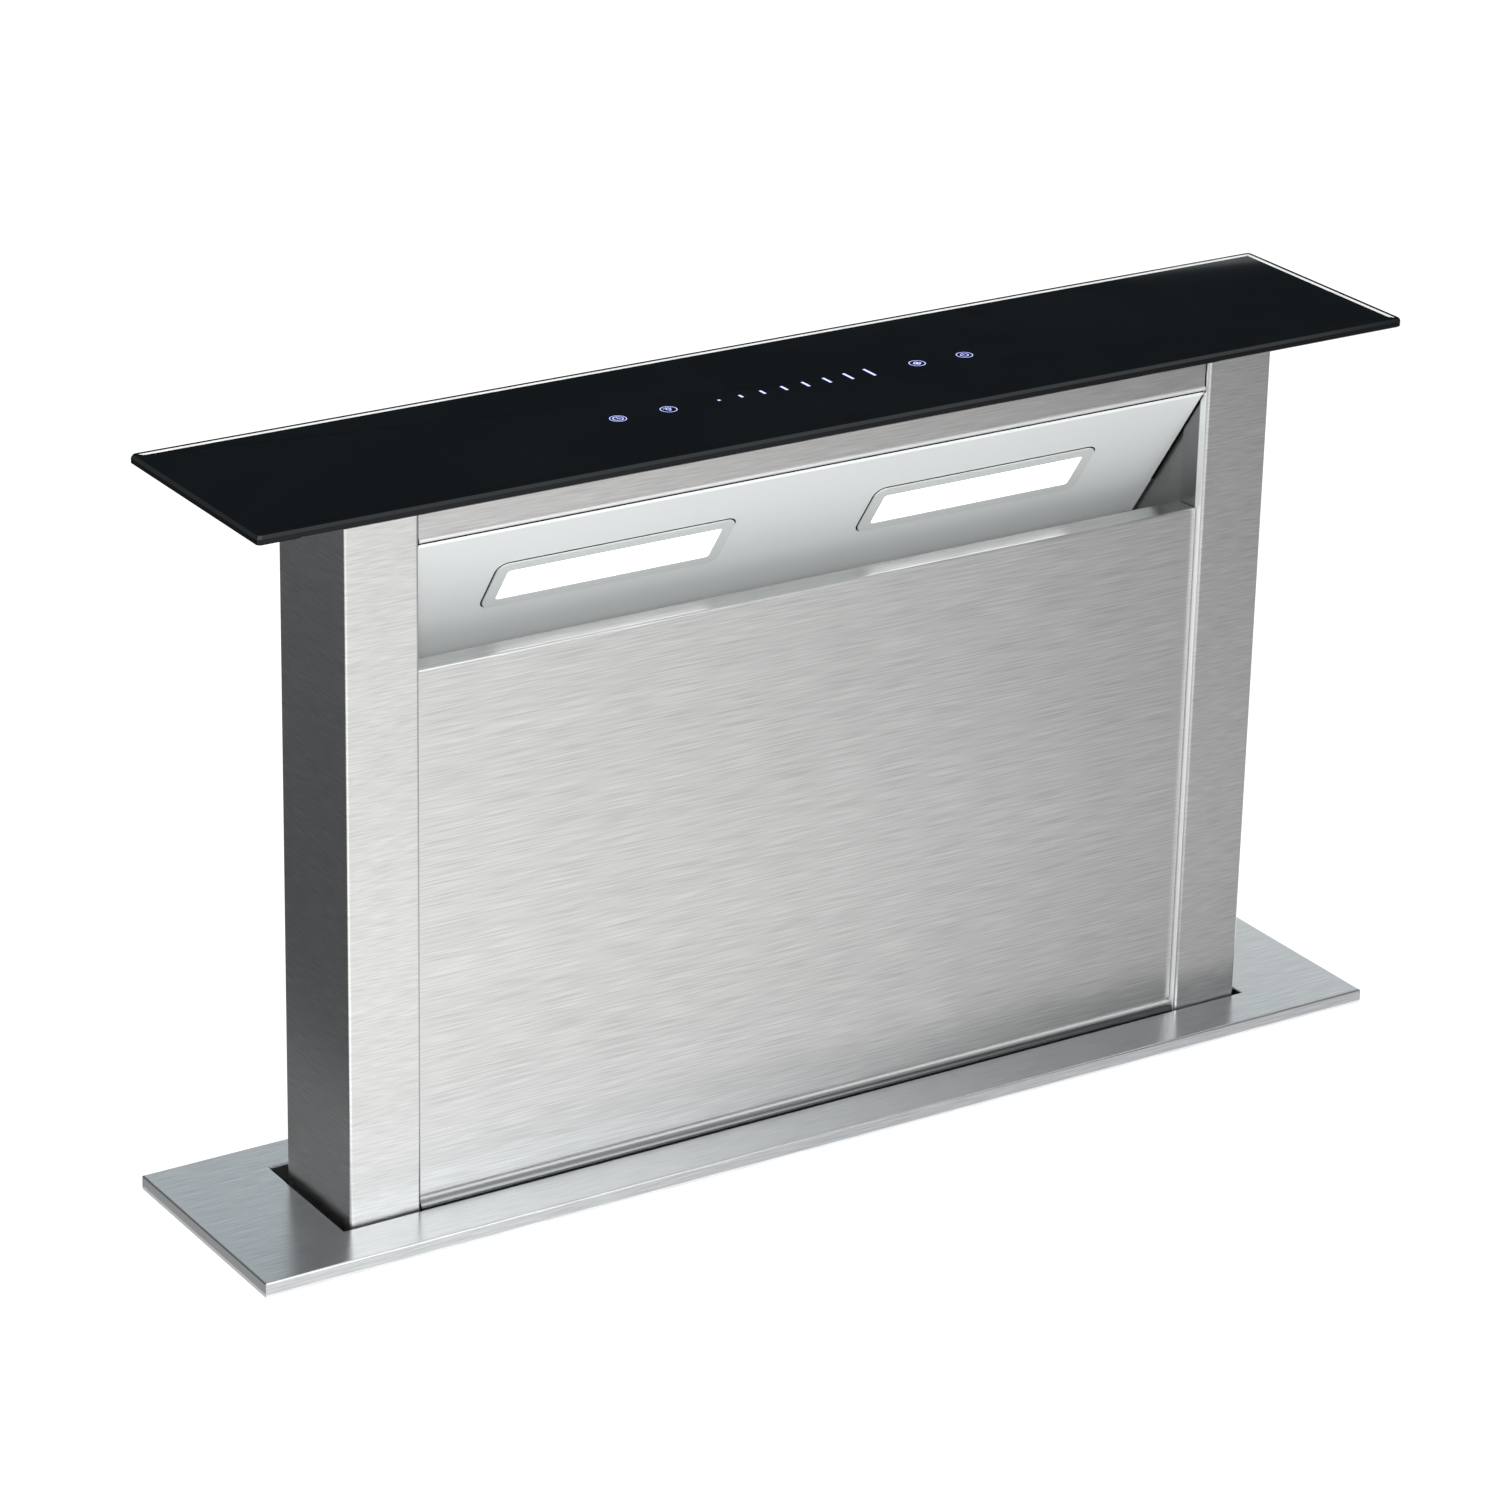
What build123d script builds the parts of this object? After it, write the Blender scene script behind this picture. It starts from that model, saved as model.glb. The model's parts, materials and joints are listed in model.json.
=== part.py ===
"""Downdraft vent: a screen that rises out of a worktop, with its housing, lift drive and blower.

Millimetres, +X to the right, +Y to the back, +Z up. The origin is the middle of the
trim, on the worktop's surface. The screen is drawn raised, as it works.
"""

from build123d import *
from math import acos, atan2, cos, degrees, floor, hypot, pi, radians, sin, tan
import os

os.makedirs("parts", exist_ok=True)

# ---- Sheet metal -------------------------------------------------------------------------
skin = 1.2  # visible and structural sheet
liner_sheet = 1.0  # inner sheet
bend = 1.5  # outer radius of a fold
fit_gap = 0.3  # clearance beside a sliding or a loose piece
shaft_gap = 0.05  # radial clearance of a running shaft

# ---- Worktop trim, slot and seals --------------------------------------------------------
trim_reach = 57  # from the column's side to the trim's end
trim_depth = 120
trim_height = 7
trim_edge = 1.0  # radius along the trim's upper edges
slot_front = -33.5
slot_back = 38
slot_end_gap = 4  # from the column's side to the slot's end
lip_height = 14  # turned-down edge of the slot
gasket_width = 6
gasket_inset = 5  # from the skirt's inside to the gasket
wiper_height = 2

# ---- Screen column -----------------------------------------------------------------------
column_width = 490
column_front = -32
column_back = 28
column_below = 80  # what stays below the worktop when the screen is raised
reach = 341  # from the trim's top to the lid's underside
post_face = 36
post_return = 17  # depth of the fold along the post's inner edge
post_back_fold = 22
lid_overhang = 55  # from the column's side to the lid's end
lid_depth = 118
lid_thickness = 4
lid_bevel = 0.6
tray_sheet = 1.5
tray_inset = 2
touch_length = 220
touch_depth = 30
touch_y = -4

# ---- Front of the column -----------------------------------------------------------------
side_gap = 0.5  # between a post and what stands between the posts
header_recess = 2
header_drop = 24.8  # from the lid's underside to the header's lower edge
header_fold = 14
cover_recess = 4
mouth_height = 58.6  # from the header's lower edge to the cover's top
cover_flange = 13.5
cover_flange_fall = 0.8
cover_edge_fold = 6
cover_lift = 3.6  # lower edge of the cover above the trim
cover_gap = 0.4
roll_radius = 4.5  # rounded lip of the lower rail
roll_recess = 0.5
rail_shelf = 8

# ---- Slanted baffle and its lamps --------------------------------------------------------
baffle_strip = 2.6  # upright strip under the header
baffle_slope = 55.5  # degrees below the horizontal
baffle_foot = 12
lamp_offset = 98.5  # lamp's middle from the vent's middle
lamp_along = 41.5  # lamp's middle down the slope
bezel_length = 122
bezel_width = 31.5
bezel_corner = 5
bezel_proud = 0.8
bezel_wall = 3
lens_length = 110
lens_width = 20.8
lens_corner = 1.5
lens_thickness = 3
lens_sunk = 0.2
lamp_depth = 8
lamp_board_sheet = 1.6

# ---- Grease filters ----------------------------------------------------------------------
filter_side_gap = 23  # room for the magnet catches
filter_head_gap = 6.5  # from the filter's top to the carrier's end, at least
filter_thickness = 9
filter_middle_gap = 4
filter_rim = 9
filter_trough = 12.5  # inside width of the trough that carries both filters
trough_lip = 7
trough_rise = 2  # trough above the cover's lower edge
mesh_thickness = 5
latch_length = 26
latch_width = 7
latch_height = 3

# ---- Magnet catches of the cover ---------------------------------------------------------
catch_depth = 12
catch_length = 19
catch_height = 16
catch_low = 40
catch_high = 244

# ---- Housing below the worktop -----------------------------------------------------------
side_space = 27  # from the column's side to the housing's outside
front_space = 8
back_space = 16
housing_depth = 700
flange_gap = 2.6  # between the mounting frame and the trim's skirt
flange_sheet = 1.5
frame_leg = 30
front_fold = 14
floor_fold = 12
foot_reach = 30
foot_height = 80
foot_width = 56
foot_sheet = 2.5
foot_slot_length = 12
foot_slot_radius = 2.6
foot_slot_spacing = 30
foot_slot_out = 15

# ---- Guides ------------------------------------------------------------------------------
rail_inset = 30  # from the column's side to the rail's middle
rail_width = 30
rail_lip = 5
rail_sheet = 1.5
rail_top = -12
rail_length = 420
rail_depth = 12.3
switch_width = 20
switch_height = 14
switch_gap = 4
switch_inset = 26
switch_lever = 2  # thickness of the switch's lever
switch_throw = 1.5  # how far the lever stands out
shoe_height = 24
shoe_first = -10
shoe_step = 44

# ---- Lift drive --------------------------------------------------------------------------
spindle_out = 13  # from the column's side to the spindle's axis
spindle_y = 14
spindle_radius = 6
journal_radius = 5
bearing_top = -28
bearing_height = 12
bearing_depth = 24
lug_height = 18
lug_reach = 23
nut_radius = 9
nut_flange = 11
nut_flange_height = 3
beam_top = -444
beam_sheet = 2
beam_front = -6
beam_back = 40
beam_fold = 10
bush_radius = 8.5
bush_rim = 11
bush_height = 12
pulley_radius = 10
pulley_flange = 11.9
pulley_height = 10
pulley_drop = 1  # from the bearing bush to the pulley
belt_thickness = 1.4
belt_width = 7.6
gear_module = 0.8
gear_teeth = 24
pinion_teeth = 16
gear_width = 8
gear_backlash = 0.08
pressure_angle = 20
motor_turn = 36  # degrees from the spindle's inward side towards the front
motor_radius = 18
gearbox_height = 30
motor_height = 58
motor_shaft = 3

# ---- Blower ------------------------------------------------------------------------------
blower_half = 190
blower_depth = 174
blower_lift = 10  # from the housing's floor to the blower
blower_height = 320
blower_fold = 12
lid_margin = 22
lid_corner = 18
lid_raised = 4
fan_x = -22
fan_rise = 178  # fan's middle above the blower's foot
fan_radius = 80
fan_eye = 64  # inner radius of the blade ring
fan_width = 84
fan_blades = 32
blade_sheet = 1.2
blade_lean = 8  # degrees that a blade's tip is ahead of its root
blade_belly = 1.5  # how far a blade's middle bulges forwards
blade_rim_gap = 1  # from a blade's tip to the rim of the plates
fan_plate = 2
scroll_wall = 2
scroll_depth = 120
scroll_start = 92
scroll_growth = 52
scroll_gap = 17  # from the front plate to the scroll
outlet_rise = 118  # height of the scroll's outlet
inlet_radius = 66
inlet_wall = 2
inlet_length = 35
inlet_rim = 90
inlet_flare = 8  # slanted lead-in of the inlet ring
hub_radius = 13
hub_length = 26
fan_shaft = 4
fan_motor_radius = 46
fan_motor_length = 30
mount_radius = 62
mount_sheet = 2
duct_radius = 75
duct_wall = 1.5
spigot_length = 80
spigot_flange = 168
spigot_plate = 2
flap_offset = 6  # flap pin from the flange plate
flap_sheet = 1.2
flap_pin_radius = 2
flap_knuckle = 4
flap_gap = 0.7  # between the flaps' edges and the duct
flap_knuckle_length = 16
flap_knuckle_step = 24
flap_wire = 0.9
flap_spring_radius = 2.6
flap_spring_pitch = 2.4
flap_spring_length = 7

# ---- Electrics ---------------------------------------------------------------------------
control_left = -180
control_width = 160
control_gap = 25  # from the blower to the control box
control_height = 100
control_depth = 50
control_wall = 2
control_board_sheet = 1.6
control_board_gap = 6
board_margin = 6  # from the box's wall to the board's edge
board_pillar = 3
pillar_inset = 5
gland_radius = 8
gland_length = 18
gland_bore = 4
gland_drop = 30  # below the top of the control box

# ---- Fasteners ---------------------------------------------------------------------------
screw_radius = 2
screw_head = 4
screw_head_height = 2.4
screw_grip = 6
screw_inset = 60  # from the plate's end to the first screw

# ---- Places that follow from the sizes above ---------------------------------------------
trim_length = column_width + 2 * trim_reach
lid_length = column_width + 2 * lid_overhang
slot_half = column_width / 2 + slot_end_gap
slot_depth = slot_back - slot_front
slot_middle = (slot_back + slot_front) / 2
column_half = column_width / 2
column_depth = column_back - column_front
column_middle = (column_back + column_front) / 2
post_inner = column_half - post_face
lid_under = trim_height + reach
post_top = lid_under - tray_sheet
column_foot = -column_below
between_half = post_inner - side_gap
header_front = column_front + header_recess
header_foot = lid_under - header_drop
cover_front = column_front + cover_recess
cover_foot = trim_height + cover_lift
cover_head = header_foot - mouth_height
roll_front = column_front + roll_recess
roll_top = cover_foot - cover_gap
rear_face = column_back - skin - liner_sheet
filter_width = post_inner - filter_side_gap - filter_middle_gap / 2
rail_offset = column_half - rail_inset
spindle_offset = column_half + spindle_out
housing_half = column_half + side_space
housing_front = column_front - front_space
housing_back = column_back + back_space
shell_side = housing_half - skin
shell_back = housing_back - skin
plate_front = housing_front - skin
flange_half = trim_length / 2 - skin - flange_gap
flange_front = -trim_depth / 2 + skin + flange_gap
flange_back = trim_depth / 2 - skin - flange_gap
floor_z = -housing_depth
blower_foot = floor_z + blower_lift
blower_top = blower_foot + blower_height
fan_z = blower_foot + fan_rise
spindle_foot = beam_top - beam_sheet - bush_height
pulley_top = spindle_foot - pulley_drop
gear_top = pulley_top - pulley_height - 2
gear_foot = gear_top - gear_width
gear_centres = gear_module * (gear_teeth + pinion_teeth) / 2
motor_x = -spindle_offset + gear_centres * cos(radians(motor_turn))
motor_y = spindle_y - gear_centres * sin(radians(motor_turn))
motor_top = gear_foot - 4
blower_front = plate_front - blower_depth
scroll_back = plate_front - scroll_gap
scroll_front = scroll_back - scroll_depth
fan_front = scroll_front + scroll_wall + 6
outlet_y = (plate_front + blower_front) / 2
outlet_z = fan_z - scroll_start - scroll_growth + outlet_rise / 2
flap_x = blower_half + spigot_plate + flap_offset
control_right = control_left + control_width
control_foot = blower_top + control_gap
control_top = control_foot + control_height


# ---- Helpers -----------------------------------------------------------------------------
def write(piece, name):
    """Name a finished piece and write it to its own file."""
    piece.part.label = name
    export_step(piece.part, f"parts/{name}.step")


def mirrored(piece):
    """The same piece on the other side of the vent's middle."""
    with BuildPart() as other:
        mirror(piece.part, about=Plane.YZ)
    return other


def folded(plane, points, sheet, side, radius=bend):
    """Section of a folded sheet, from the line along its outer face."""
    with BuildSketch(plane) as section:
        with BuildLine():
            FilletPolyline(*points, radius=radius)
            offset(amount=sheet, side=side)
        make_face()
    return section.sketch


def box_at(x0, x1, y0, y1, z0, z1):
    """A block between two corners, inside the active part."""
    with BuildPart(mode=Mode.PRIVATE) as block:
        with Locations(((x0 + x1) / 2, (y0 + y1) / 2, (z0 + z1) / 2)):
            Box(abs(x1 - x0), abs(y1 - y0), abs(z1 - z0))
    return block.part


def ring_at(outer, inner, z0, z1):
    """An upright rectangular ring; each outline is x half-width, y front, y back."""
    with BuildPart() as ring:
        add(box_at(-outer[0], outer[0], outer[1], outer[2], z0, z1))
        add(box_at(-inner[0], inner[0], inner[1], inner[2], z0, z1), mode=Mode.SUBTRACT)
    return ring.part


def rod(start, direction, radius, length):
    """A round bar from a point along a direction."""
    with BuildPart(mode=Mode.PRIVATE) as bar:
        with BuildSketch(Plane(origin=start, z_dir=direction)):
            Circle(radius)
        extrude(amount=length)
    return bar.part


def screw(start):
    """A hexagon-headed screw whose head stands on a front face at the start point."""
    with BuildPart(mode=Mode.PRIVATE) as fastener:
        with BuildSketch(Plane(origin=start, z_dir=(0, -1, 0))):
            RegularPolygon(screw_head, 6)
        extrude(amount=screw_head_height)
        add(rod(start, (0, 1, 0), screw_radius, screw_grip))
    return fastener.part


# ---- Worktop trim ------------------------------------------------------------------------
slot = (slot_half, slot_front, slot_back)
slot_outside = (slot_half + skin, slot_front - skin, slot_back + skin)
with BuildPart() as worktop_trim:
    with BuildSketch():
        Rectangle(trim_length, trim_depth)
    extrude(amount=trim_height)
    fillet(worktop_trim.edges().group_by(Axis.Z)[-1], trim_edge)
    with BuildSketch():
        Rectangle(trim_length - 2 * skin, trim_depth - 2 * skin)
    extrude(amount=trim_height - skin, mode=Mode.SUBTRACT)
    add(ring_at(slot_outside, slot, trim_height - lip_height, trim_height))
    with BuildSketch(Plane.XY.offset(trim_height)):
        with Locations((0, slot_middle)):
            Rectangle(2 * slot_half, slot_depth)
    extrude(amount=-lip_height, mode=Mode.SUBTRACT)
    fillet(
        worktop_trim.edges().group_by(Axis.Z)[-1].filter_by_position(Axis.X, -slot_half, slot_half)
        .filter_by_position(Axis.Y, slot_front, slot_back),
        skin * 0.8,
    )
write(worktop_trim, "worktop_trim")

skirt_half = trim_length / 2 - skin
skirt_depth = trim_depth / 2 - skin
gasket_outside = (skirt_half - gasket_inset, -skirt_depth + gasket_inset, skirt_depth - gasket_inset)
gasket_inside = (
    gasket_outside[0] - gasket_width,
    gasket_outside[1] + gasket_width,
    gasket_outside[2] - gasket_width,
)
column_hole = (column_half + fit_gap, column_front - fit_gap, column_back + fit_gap)
lip_foot = trim_height - lip_height
with BuildPart() as trim_seals:
    add(ring_at(gasket_outside, gasket_inside, flange_sheet, trim_height - skin))
    add(ring_at(slot_outside, column_hole, lip_foot - wiper_height, lip_foot))
write(trim_seals, "trim_seals")

# ---- Housing -----------------------------------------------------------------------------
leg_outside = (housing_half + skin, housing_front - skin, housing_back + skin)
leg_inside = (housing_half, housing_front, housing_back)
plate_screw_x = housing_half - front_fold / 2
plate_screw_zs = (-screw_inset, -housing_depth / 2, screw_inset - housing_depth)
plate_screws = [(x, z) for x in (-plate_screw_x, plate_screw_x) for z in plate_screw_zs]
blower_screw_x = blower_half + blower_fold / 2
blower_screw_zs = (blower_foot + screw_inset / 2, blower_top - screw_inset / 2)
blower_screws = [(x, z) for x in (-blower_screw_x, blower_screw_x) for z in blower_screw_zs]
with BuildPart() as mounting_frame:
    add(ring_at((flange_half, flange_front, flange_back), leg_inside, 0, flange_sheet))
    add(ring_at(leg_outside, leg_inside, -frame_leg, flange_sheet))
write(mounting_frame, "mounting_frame")

with BuildPart() as housing_shell:
    outline = [
        (-housing_half + front_fold, housing_front),
        (-housing_half, housing_front),
        (-housing_half, housing_back),
        (housing_half, housing_back),
        (housing_half, housing_front),
        (housing_half - front_fold, housing_front),
    ]
    extrude(folded(Plane.XY.offset(floor_z), outline, skin, Side.RIGHT), amount=housing_depth)
    with Locations([Plane(origin=(x, housing_front, z), z_dir=(0, -1, 0)) for x, z in plate_screws]):
        Hole(screw_radius + shaft_gap, skin)
write(housing_shell, "housing_shell")

plate_top = -frame_leg - 2
plate_half = housing_half - 2
with BuildPart() as housing_front_plate:
    add(box_at(-plate_half, plate_half, plate_front, housing_front, floor_z, plate_top))
    with Locations(Plane(origin=(fan_x, plate_front, fan_z), z_dir=(0, -1, 0))):
        Hole(inlet_radius + inlet_wall, skin)
    with Locations([Plane(origin=(x, plate_front, z), z_dir=(0, -1, 0)) for x, z in plate_screws]):
        Hole(screw_radius + shaft_gap, skin)
    with Locations([Plane(origin=(x, plate_front, z), z_dir=(0, -1, 0)) for x, z in blower_screws]):
        Hole(screw_radius + shaft_gap, skin)
write(housing_front_plate, "housing_front_plate")

with BuildPart() as housing_fasteners:
    for x, z in plate_screws:
        add(screw((x, plate_front, z)))
    for x, z in blower_screws:
        add(screw((x, plate_front - skin, z)))
write(housing_fasteners, "housing_fasteners")

with BuildPart() as housing_floor:
    inside = (shell_side - fit_gap, housing_front + skin + fit_gap, shell_back - fit_gap)
    well = (inside[0] - skin, inside[1] + skin, inside[2] - skin)
    add(box_at(-inside[0], inside[0], inside[1], inside[2], floor_z, floor_z + floor_fold))
    add(
        box_at(-well[0], well[0], well[1], well[2], floor_z + skin, floor_z + floor_fold),
        mode=Mode.SUBTRACT,
    )
write(housing_floor, "housing_floor")

with BuildPart() as support_feet:
    outline = [
        (-housing_half - foot_reach, floor_z),
        (-housing_half, floor_z),
        (-housing_half, floor_z + foot_height),
    ]
    section = folded(Plane.XZ.offset(foot_width / 2), outline, foot_sheet, Side.LEFT, foot_sheet + 1)
    extrude(section, amount=-foot_width)
    with BuildSketch(Plane.XY.offset(floor_z)):
        with Locations(
            (-housing_half - foot_slot_out, -foot_slot_spacing / 2),
            (-housing_half - foot_slot_out, foot_slot_spacing / 2),
        ):
            SlotOverall(foot_slot_length, 2 * foot_slot_radius)
    extrude(amount=foot_sheet, mode=Mode.SUBTRACT)
    mirror(about=Plane.YZ)
write(support_feet, "support_feet")

# ---- Guide rails and the shoes that run in them ------------------------------------------
rail_left = -rail_offset - rail_width / 2
rail_right = -rail_offset + rail_width / 2
rail_front = shell_back - rail_depth
with BuildPart() as guide_rails:
    outline = [
        (rail_left + rail_lip + rail_sheet, rail_front),
        (rail_left, rail_front),
        (rail_left, shell_back),
        (rail_right, shell_back),
        (rail_right, rail_front),
        (rail_right - rail_lip - rail_sheet, rail_front),
    ]
    rail_plane = Plane.XY.offset(rail_top - rail_length)
    extrude(folded(rail_plane, outline, rail_sheet, Side.RIGHT, rail_sheet + 0.5), amount=rail_length)
    mirror(about=Plane.YZ)
write(guide_rails, "guide_rails")

shoe_head = rail_width / 2 - rail_sheet - fit_gap
shoe_neck = rail_width / 2 - rail_sheet - rail_lip - fit_gap
with BuildPart() as slide_shoes:
    for place in range(2):
        top = shoe_first - place * shoe_step
        head_front = rail_front + rail_sheet + fit_gap
        head_back = shell_back - rail_sheet - fit_gap
        add(
            box_at(
                -rail_offset - shoe_neck, -rail_offset + shoe_neck, column_back, head_front,
                top - shoe_height, top,
            )
        )
        add(
            box_at(
                -rail_offset - shoe_head, -rail_offset + shoe_head, head_front, head_back,
                top - shoe_height, top,
            )
        )
    chamfer(slide_shoes.edges().filter_by(Axis.Z).group_by(Axis.Y)[-1], 0.6)
    mirror(about=Plane.YZ)
write(slide_shoes, "slide_shoes")

# ---- Posts, liners and rear panel --------------------------------------------------------
with BuildPart() as left_post:
    outline = [
        (-post_inner, column_front + post_return),
        (-post_inner, column_front),
        (-column_half, column_front),
        (-column_half, column_back),
        (-column_half + post_back_fold, column_back),
    ]
    section = folded(Plane.XY.offset(column_foot), outline, skin, Side.RIGHT)
    extrude(section, amount=post_top - column_foot)
write(left_post, "left_post")
right_post = mirrored(left_post)
write(right_post, "right_post")

liner_face = post_inner + skin
with BuildPart() as post_liners:
    outline = [
        (-liner_face, column_front + bend + skin),
        (-liner_face, rear_face),
        (-liner_face - post_back_fold / 2, rear_face),
    ]
    section = folded(Plane.XY.offset(column_foot), outline, liner_sheet, Side.LEFT, liner_sheet + 0.3)
    extrude(section, amount=post_top - column_foot)
    mirror(about=Plane.YZ)
write(post_liners, "post_liners")

rear_half = column_half - skin - fit_gap
with BuildPart() as rear_panel:
    add(box_at(-rear_half, rear_half, rear_face, rear_face + liner_sheet, column_foot, post_top))
write(rear_panel, "rear_panel")

# ---- Lid, tray and touch board -----------------------------------------------------------
with BuildPart() as glass_lid:
    with BuildSketch(Plane.XY.offset(lid_under)):
        Rectangle(lid_length, lid_depth)
    extrude(amount=lid_thickness)
    chamfer(glass_lid.edges().filter_by(Plane.XY), lid_bevel)
write(glass_lid, "glass_lid")

with BuildPart() as lid_tray:
    with BuildSketch(Plane.XY.offset(post_top)):
        with Locations((0, column_middle)):
            Rectangle(column_width - 2 * tray_inset, column_depth - 2 * tray_inset)
        with Locations((0, touch_y)):
            Rectangle(touch_length, touch_depth, mode=Mode.SUBTRACT)
    extrude(amount=tray_sheet)
write(lid_tray, "lid_tray")

with BuildPart() as touch_board:
    with BuildSketch(Plane.XY.offset(lid_under)):
        with Locations((0, touch_y)):
            Rectangle(touch_length - 2 * fit_gap, touch_depth - 2 * fit_gap)
    extrude(amount=-tray_sheet)
write(touch_board, "touch_board")

# ---- Header, lower rail and front cover --------------------------------------------------
across = Plane.YZ.offset(-between_half)
with BuildPart() as header_rail:
    outline = [
        (header_front, header_foot),
        (header_front, post_top),
        (header_front + header_fold, post_top),
    ]
    extrude(folded(across, outline, skin, Side.RIGHT), amount=2 * between_half)
    fillet(header_rail.edges().filter_by(Axis.X).group_by(Axis.Z)[0].group_by(Axis.Y)[0], skin * 0.6)
write(header_rail, "header_rail")

with BuildPart() as lower_rail:
    outline = [
        (cover_front + rail_shelf, roll_top),
        (roll_front, roll_top),
        (roll_front, column_foot + skin),
        (cover_front + rail_shelf, column_foot + skin),
    ]
    extrude(folded(across, outline, skin, Side.LEFT, roll_radius), amount=2 * between_half)
write(lower_rail, "lower_rail")

with BuildPart() as front_cover:
    outline = [
        (cover_front + cover_flange, cover_head - cover_flange_fall),
        (cover_front, cover_head),
        (cover_front, cover_foot),
        (cover_front + cover_edge_fold, cover_foot),
    ]
    extrude(folded(across, outline, liner_sheet, Side.LEFT, 1.2), amount=2 * between_half)
    for side in (-1, 1):
        edge = side * between_half
        add(
            box_at(
                edge, edge - side * liner_sheet, cover_front + 1.2, cover_front + cover_edge_fold,
                cover_foot, cover_head - cover_flange_fall,
            )
        )
write(front_cover, "front_cover")

# ---- Baffle with its two lamps -----------------------------------------------------------
strip_front = header_front + skin
slope_start = header_foot - baffle_strip
slope_fall = tan(radians(baffle_slope))
baffle_back = rear_face - liner_sheet
slope_end = slope_start - (baffle_back - strip_front) * slope_fall
slope_out = (0, -sin(radians(baffle_slope)), -cos(radians(baffle_slope)))
lamp_centre = (
    strip_front + lamp_along * cos(radians(baffle_slope)),
    slope_start - lamp_along * sin(radians(baffle_slope)),
)


def lamp_plane(side, proud=0.0):
    """The baffle's sloping face at a lamp: x along the vent, z out of the face."""
    origin = (
        side * lamp_offset,
        lamp_centre[0] + proud * slope_out[1],
        lamp_centre[1] + proud * slope_out[2],
    )
    return Plane(origin=origin, x_dir=(1, 0, 0), z_dir=slope_out)


bezel_body_length = bezel_length - 2 * bezel_wall
bezel_body_width = bezel_width - 2 * bezel_wall
with BuildPart() as baffle:
    outline = [
        (strip_front, post_top - skin - header_fold),
        (strip_front, slope_start),
        (baffle_back, slope_end),
        (baffle_back, slope_end - baffle_foot),
    ]
    extrude(folded(across, outline, liner_sheet, Side.LEFT, 1.3), amount=2 * between_half)
    for side in (-1, 1):
        with BuildSketch(lamp_plane(side, 1)):
            RectangleRounded(
                bezel_body_length + 2 * fit_gap, bezel_body_width + 2 * fit_gap, bezel_corner - bezel_wall
            )
        extrude(amount=-4, mode=Mode.SUBTRACT)
write(baffle, "baffle")

with BuildPart() as lamp_bezels:
    for side in (-1, 1):
        with BuildSketch(lamp_plane(side)):
            RectangleRounded(bezel_length, bezel_width, bezel_corner)
        extrude(amount=bezel_proud)
        with BuildSketch(lamp_plane(side)):
            RectangleRounded(bezel_body_length, bezel_body_width, bezel_corner - bezel_wall)
        extrude(amount=-lamp_depth)
        with BuildSketch(lamp_plane(side, bezel_proud)):
            RectangleRounded(lens_length, lens_width, lens_corner)
        extrude(amount=-lamp_depth - bezel_proud, mode=Mode.SUBTRACT)
write(lamp_bezels, "lamp_bezels")

with BuildPart() as lamp_lenses:
    for side in (-1, 1):
        with BuildSketch(lamp_plane(side, bezel_proud - lens_sunk)):
            RectangleRounded(lens_length - 2 * shaft_gap, lens_width - 2 * shaft_gap, lens_corner)
        extrude(amount=-lens_thickness)
write(lamp_lenses, "lamp_lenses")

with BuildPart() as lamp_boards:
    for side in (-1, 1):
        with BuildSketch(lamp_plane(side, bezel_proud - lens_sunk - lens_thickness)):
            RectangleRounded(lens_length - 1, lens_width - 1, lens_corner)
        extrude(amount=-lamp_board_sheet)
write(lamp_boards, "lamp_boards")

# ---- Filter carrier and the two grease filters -------------------------------------------
trough_floor = cover_foot + liner_sheet + trough_rise
trough_front = cover_front + cover_edge_fold + cover_gap
trough_back = trough_front + filter_trough + 2 * liner_sheet
carrier_top = slope_end - baffle_foot - 4
carrier_rise = carrier_top - trough_floor
carrier_run = rear_face - fit_gap - trough_back
carrier_lean = degrees(atan2(carrier_run, carrier_rise))
lean_up = (0, sin(radians(carrier_lean)), cos(radians(carrier_lean)))
lean_out = (0, -cos(radians(carrier_lean)), sin(radians(carrier_lean)))
filter_x = (filter_width + filter_middle_gap) / 2
filter_foot = 1.5  # filter's lower edge above the trough, along the slope
carrier_face = liner_sheet  # carrier's front face in front of its back face


def lean_plane(x, up, out):
    """A plane on the carrier: x along the vent, y up the slope, z out to the front."""
    start = (trough_back, trough_floor)
    return Plane(
        origin=(
            x,
            start[0] + up * lean_up[1] + out * lean_out[1],
            start[1] + up * lean_up[2] + out * lean_out[2],
        ),
        x_dir=(1, 0, 0),
        z_dir=lean_out,
    )


window_width = filter_width - 2 * filter_rim
filter_room = hypot(carrier_run, carrier_rise) - filter_foot - liner_sheet
filter_height = floor(filter_room - filter_head_gap)  # filters come in whole millimetres
window_height = filter_height - 2 * filter_rim
filter_up = filter_foot + liner_sheet + filter_height / 2
mesh_face = carrier_face + (filter_thickness - mesh_thickness) / 2
with BuildPart() as filter_carrier:
    outline = [
        (trough_front, trough_floor + trough_lip),
        (trough_front, trough_floor),
        (trough_back, trough_floor),
        (rear_face - fit_gap, carrier_top),
    ]
    carrier_plane = Plane.YZ.offset(-post_inner)
    extrude(folded(carrier_plane, outline, liner_sheet, Side.LEFT, 1.3), amount=2 * post_inner)
    for side in (-1, 1):
        with BuildSketch(lean_plane(side * filter_x, filter_up, 3)):
            Rectangle(window_width, window_height)
        extrude(amount=-6, mode=Mode.SUBTRACT)
write(filter_carrier, "filter_carrier")

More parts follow.
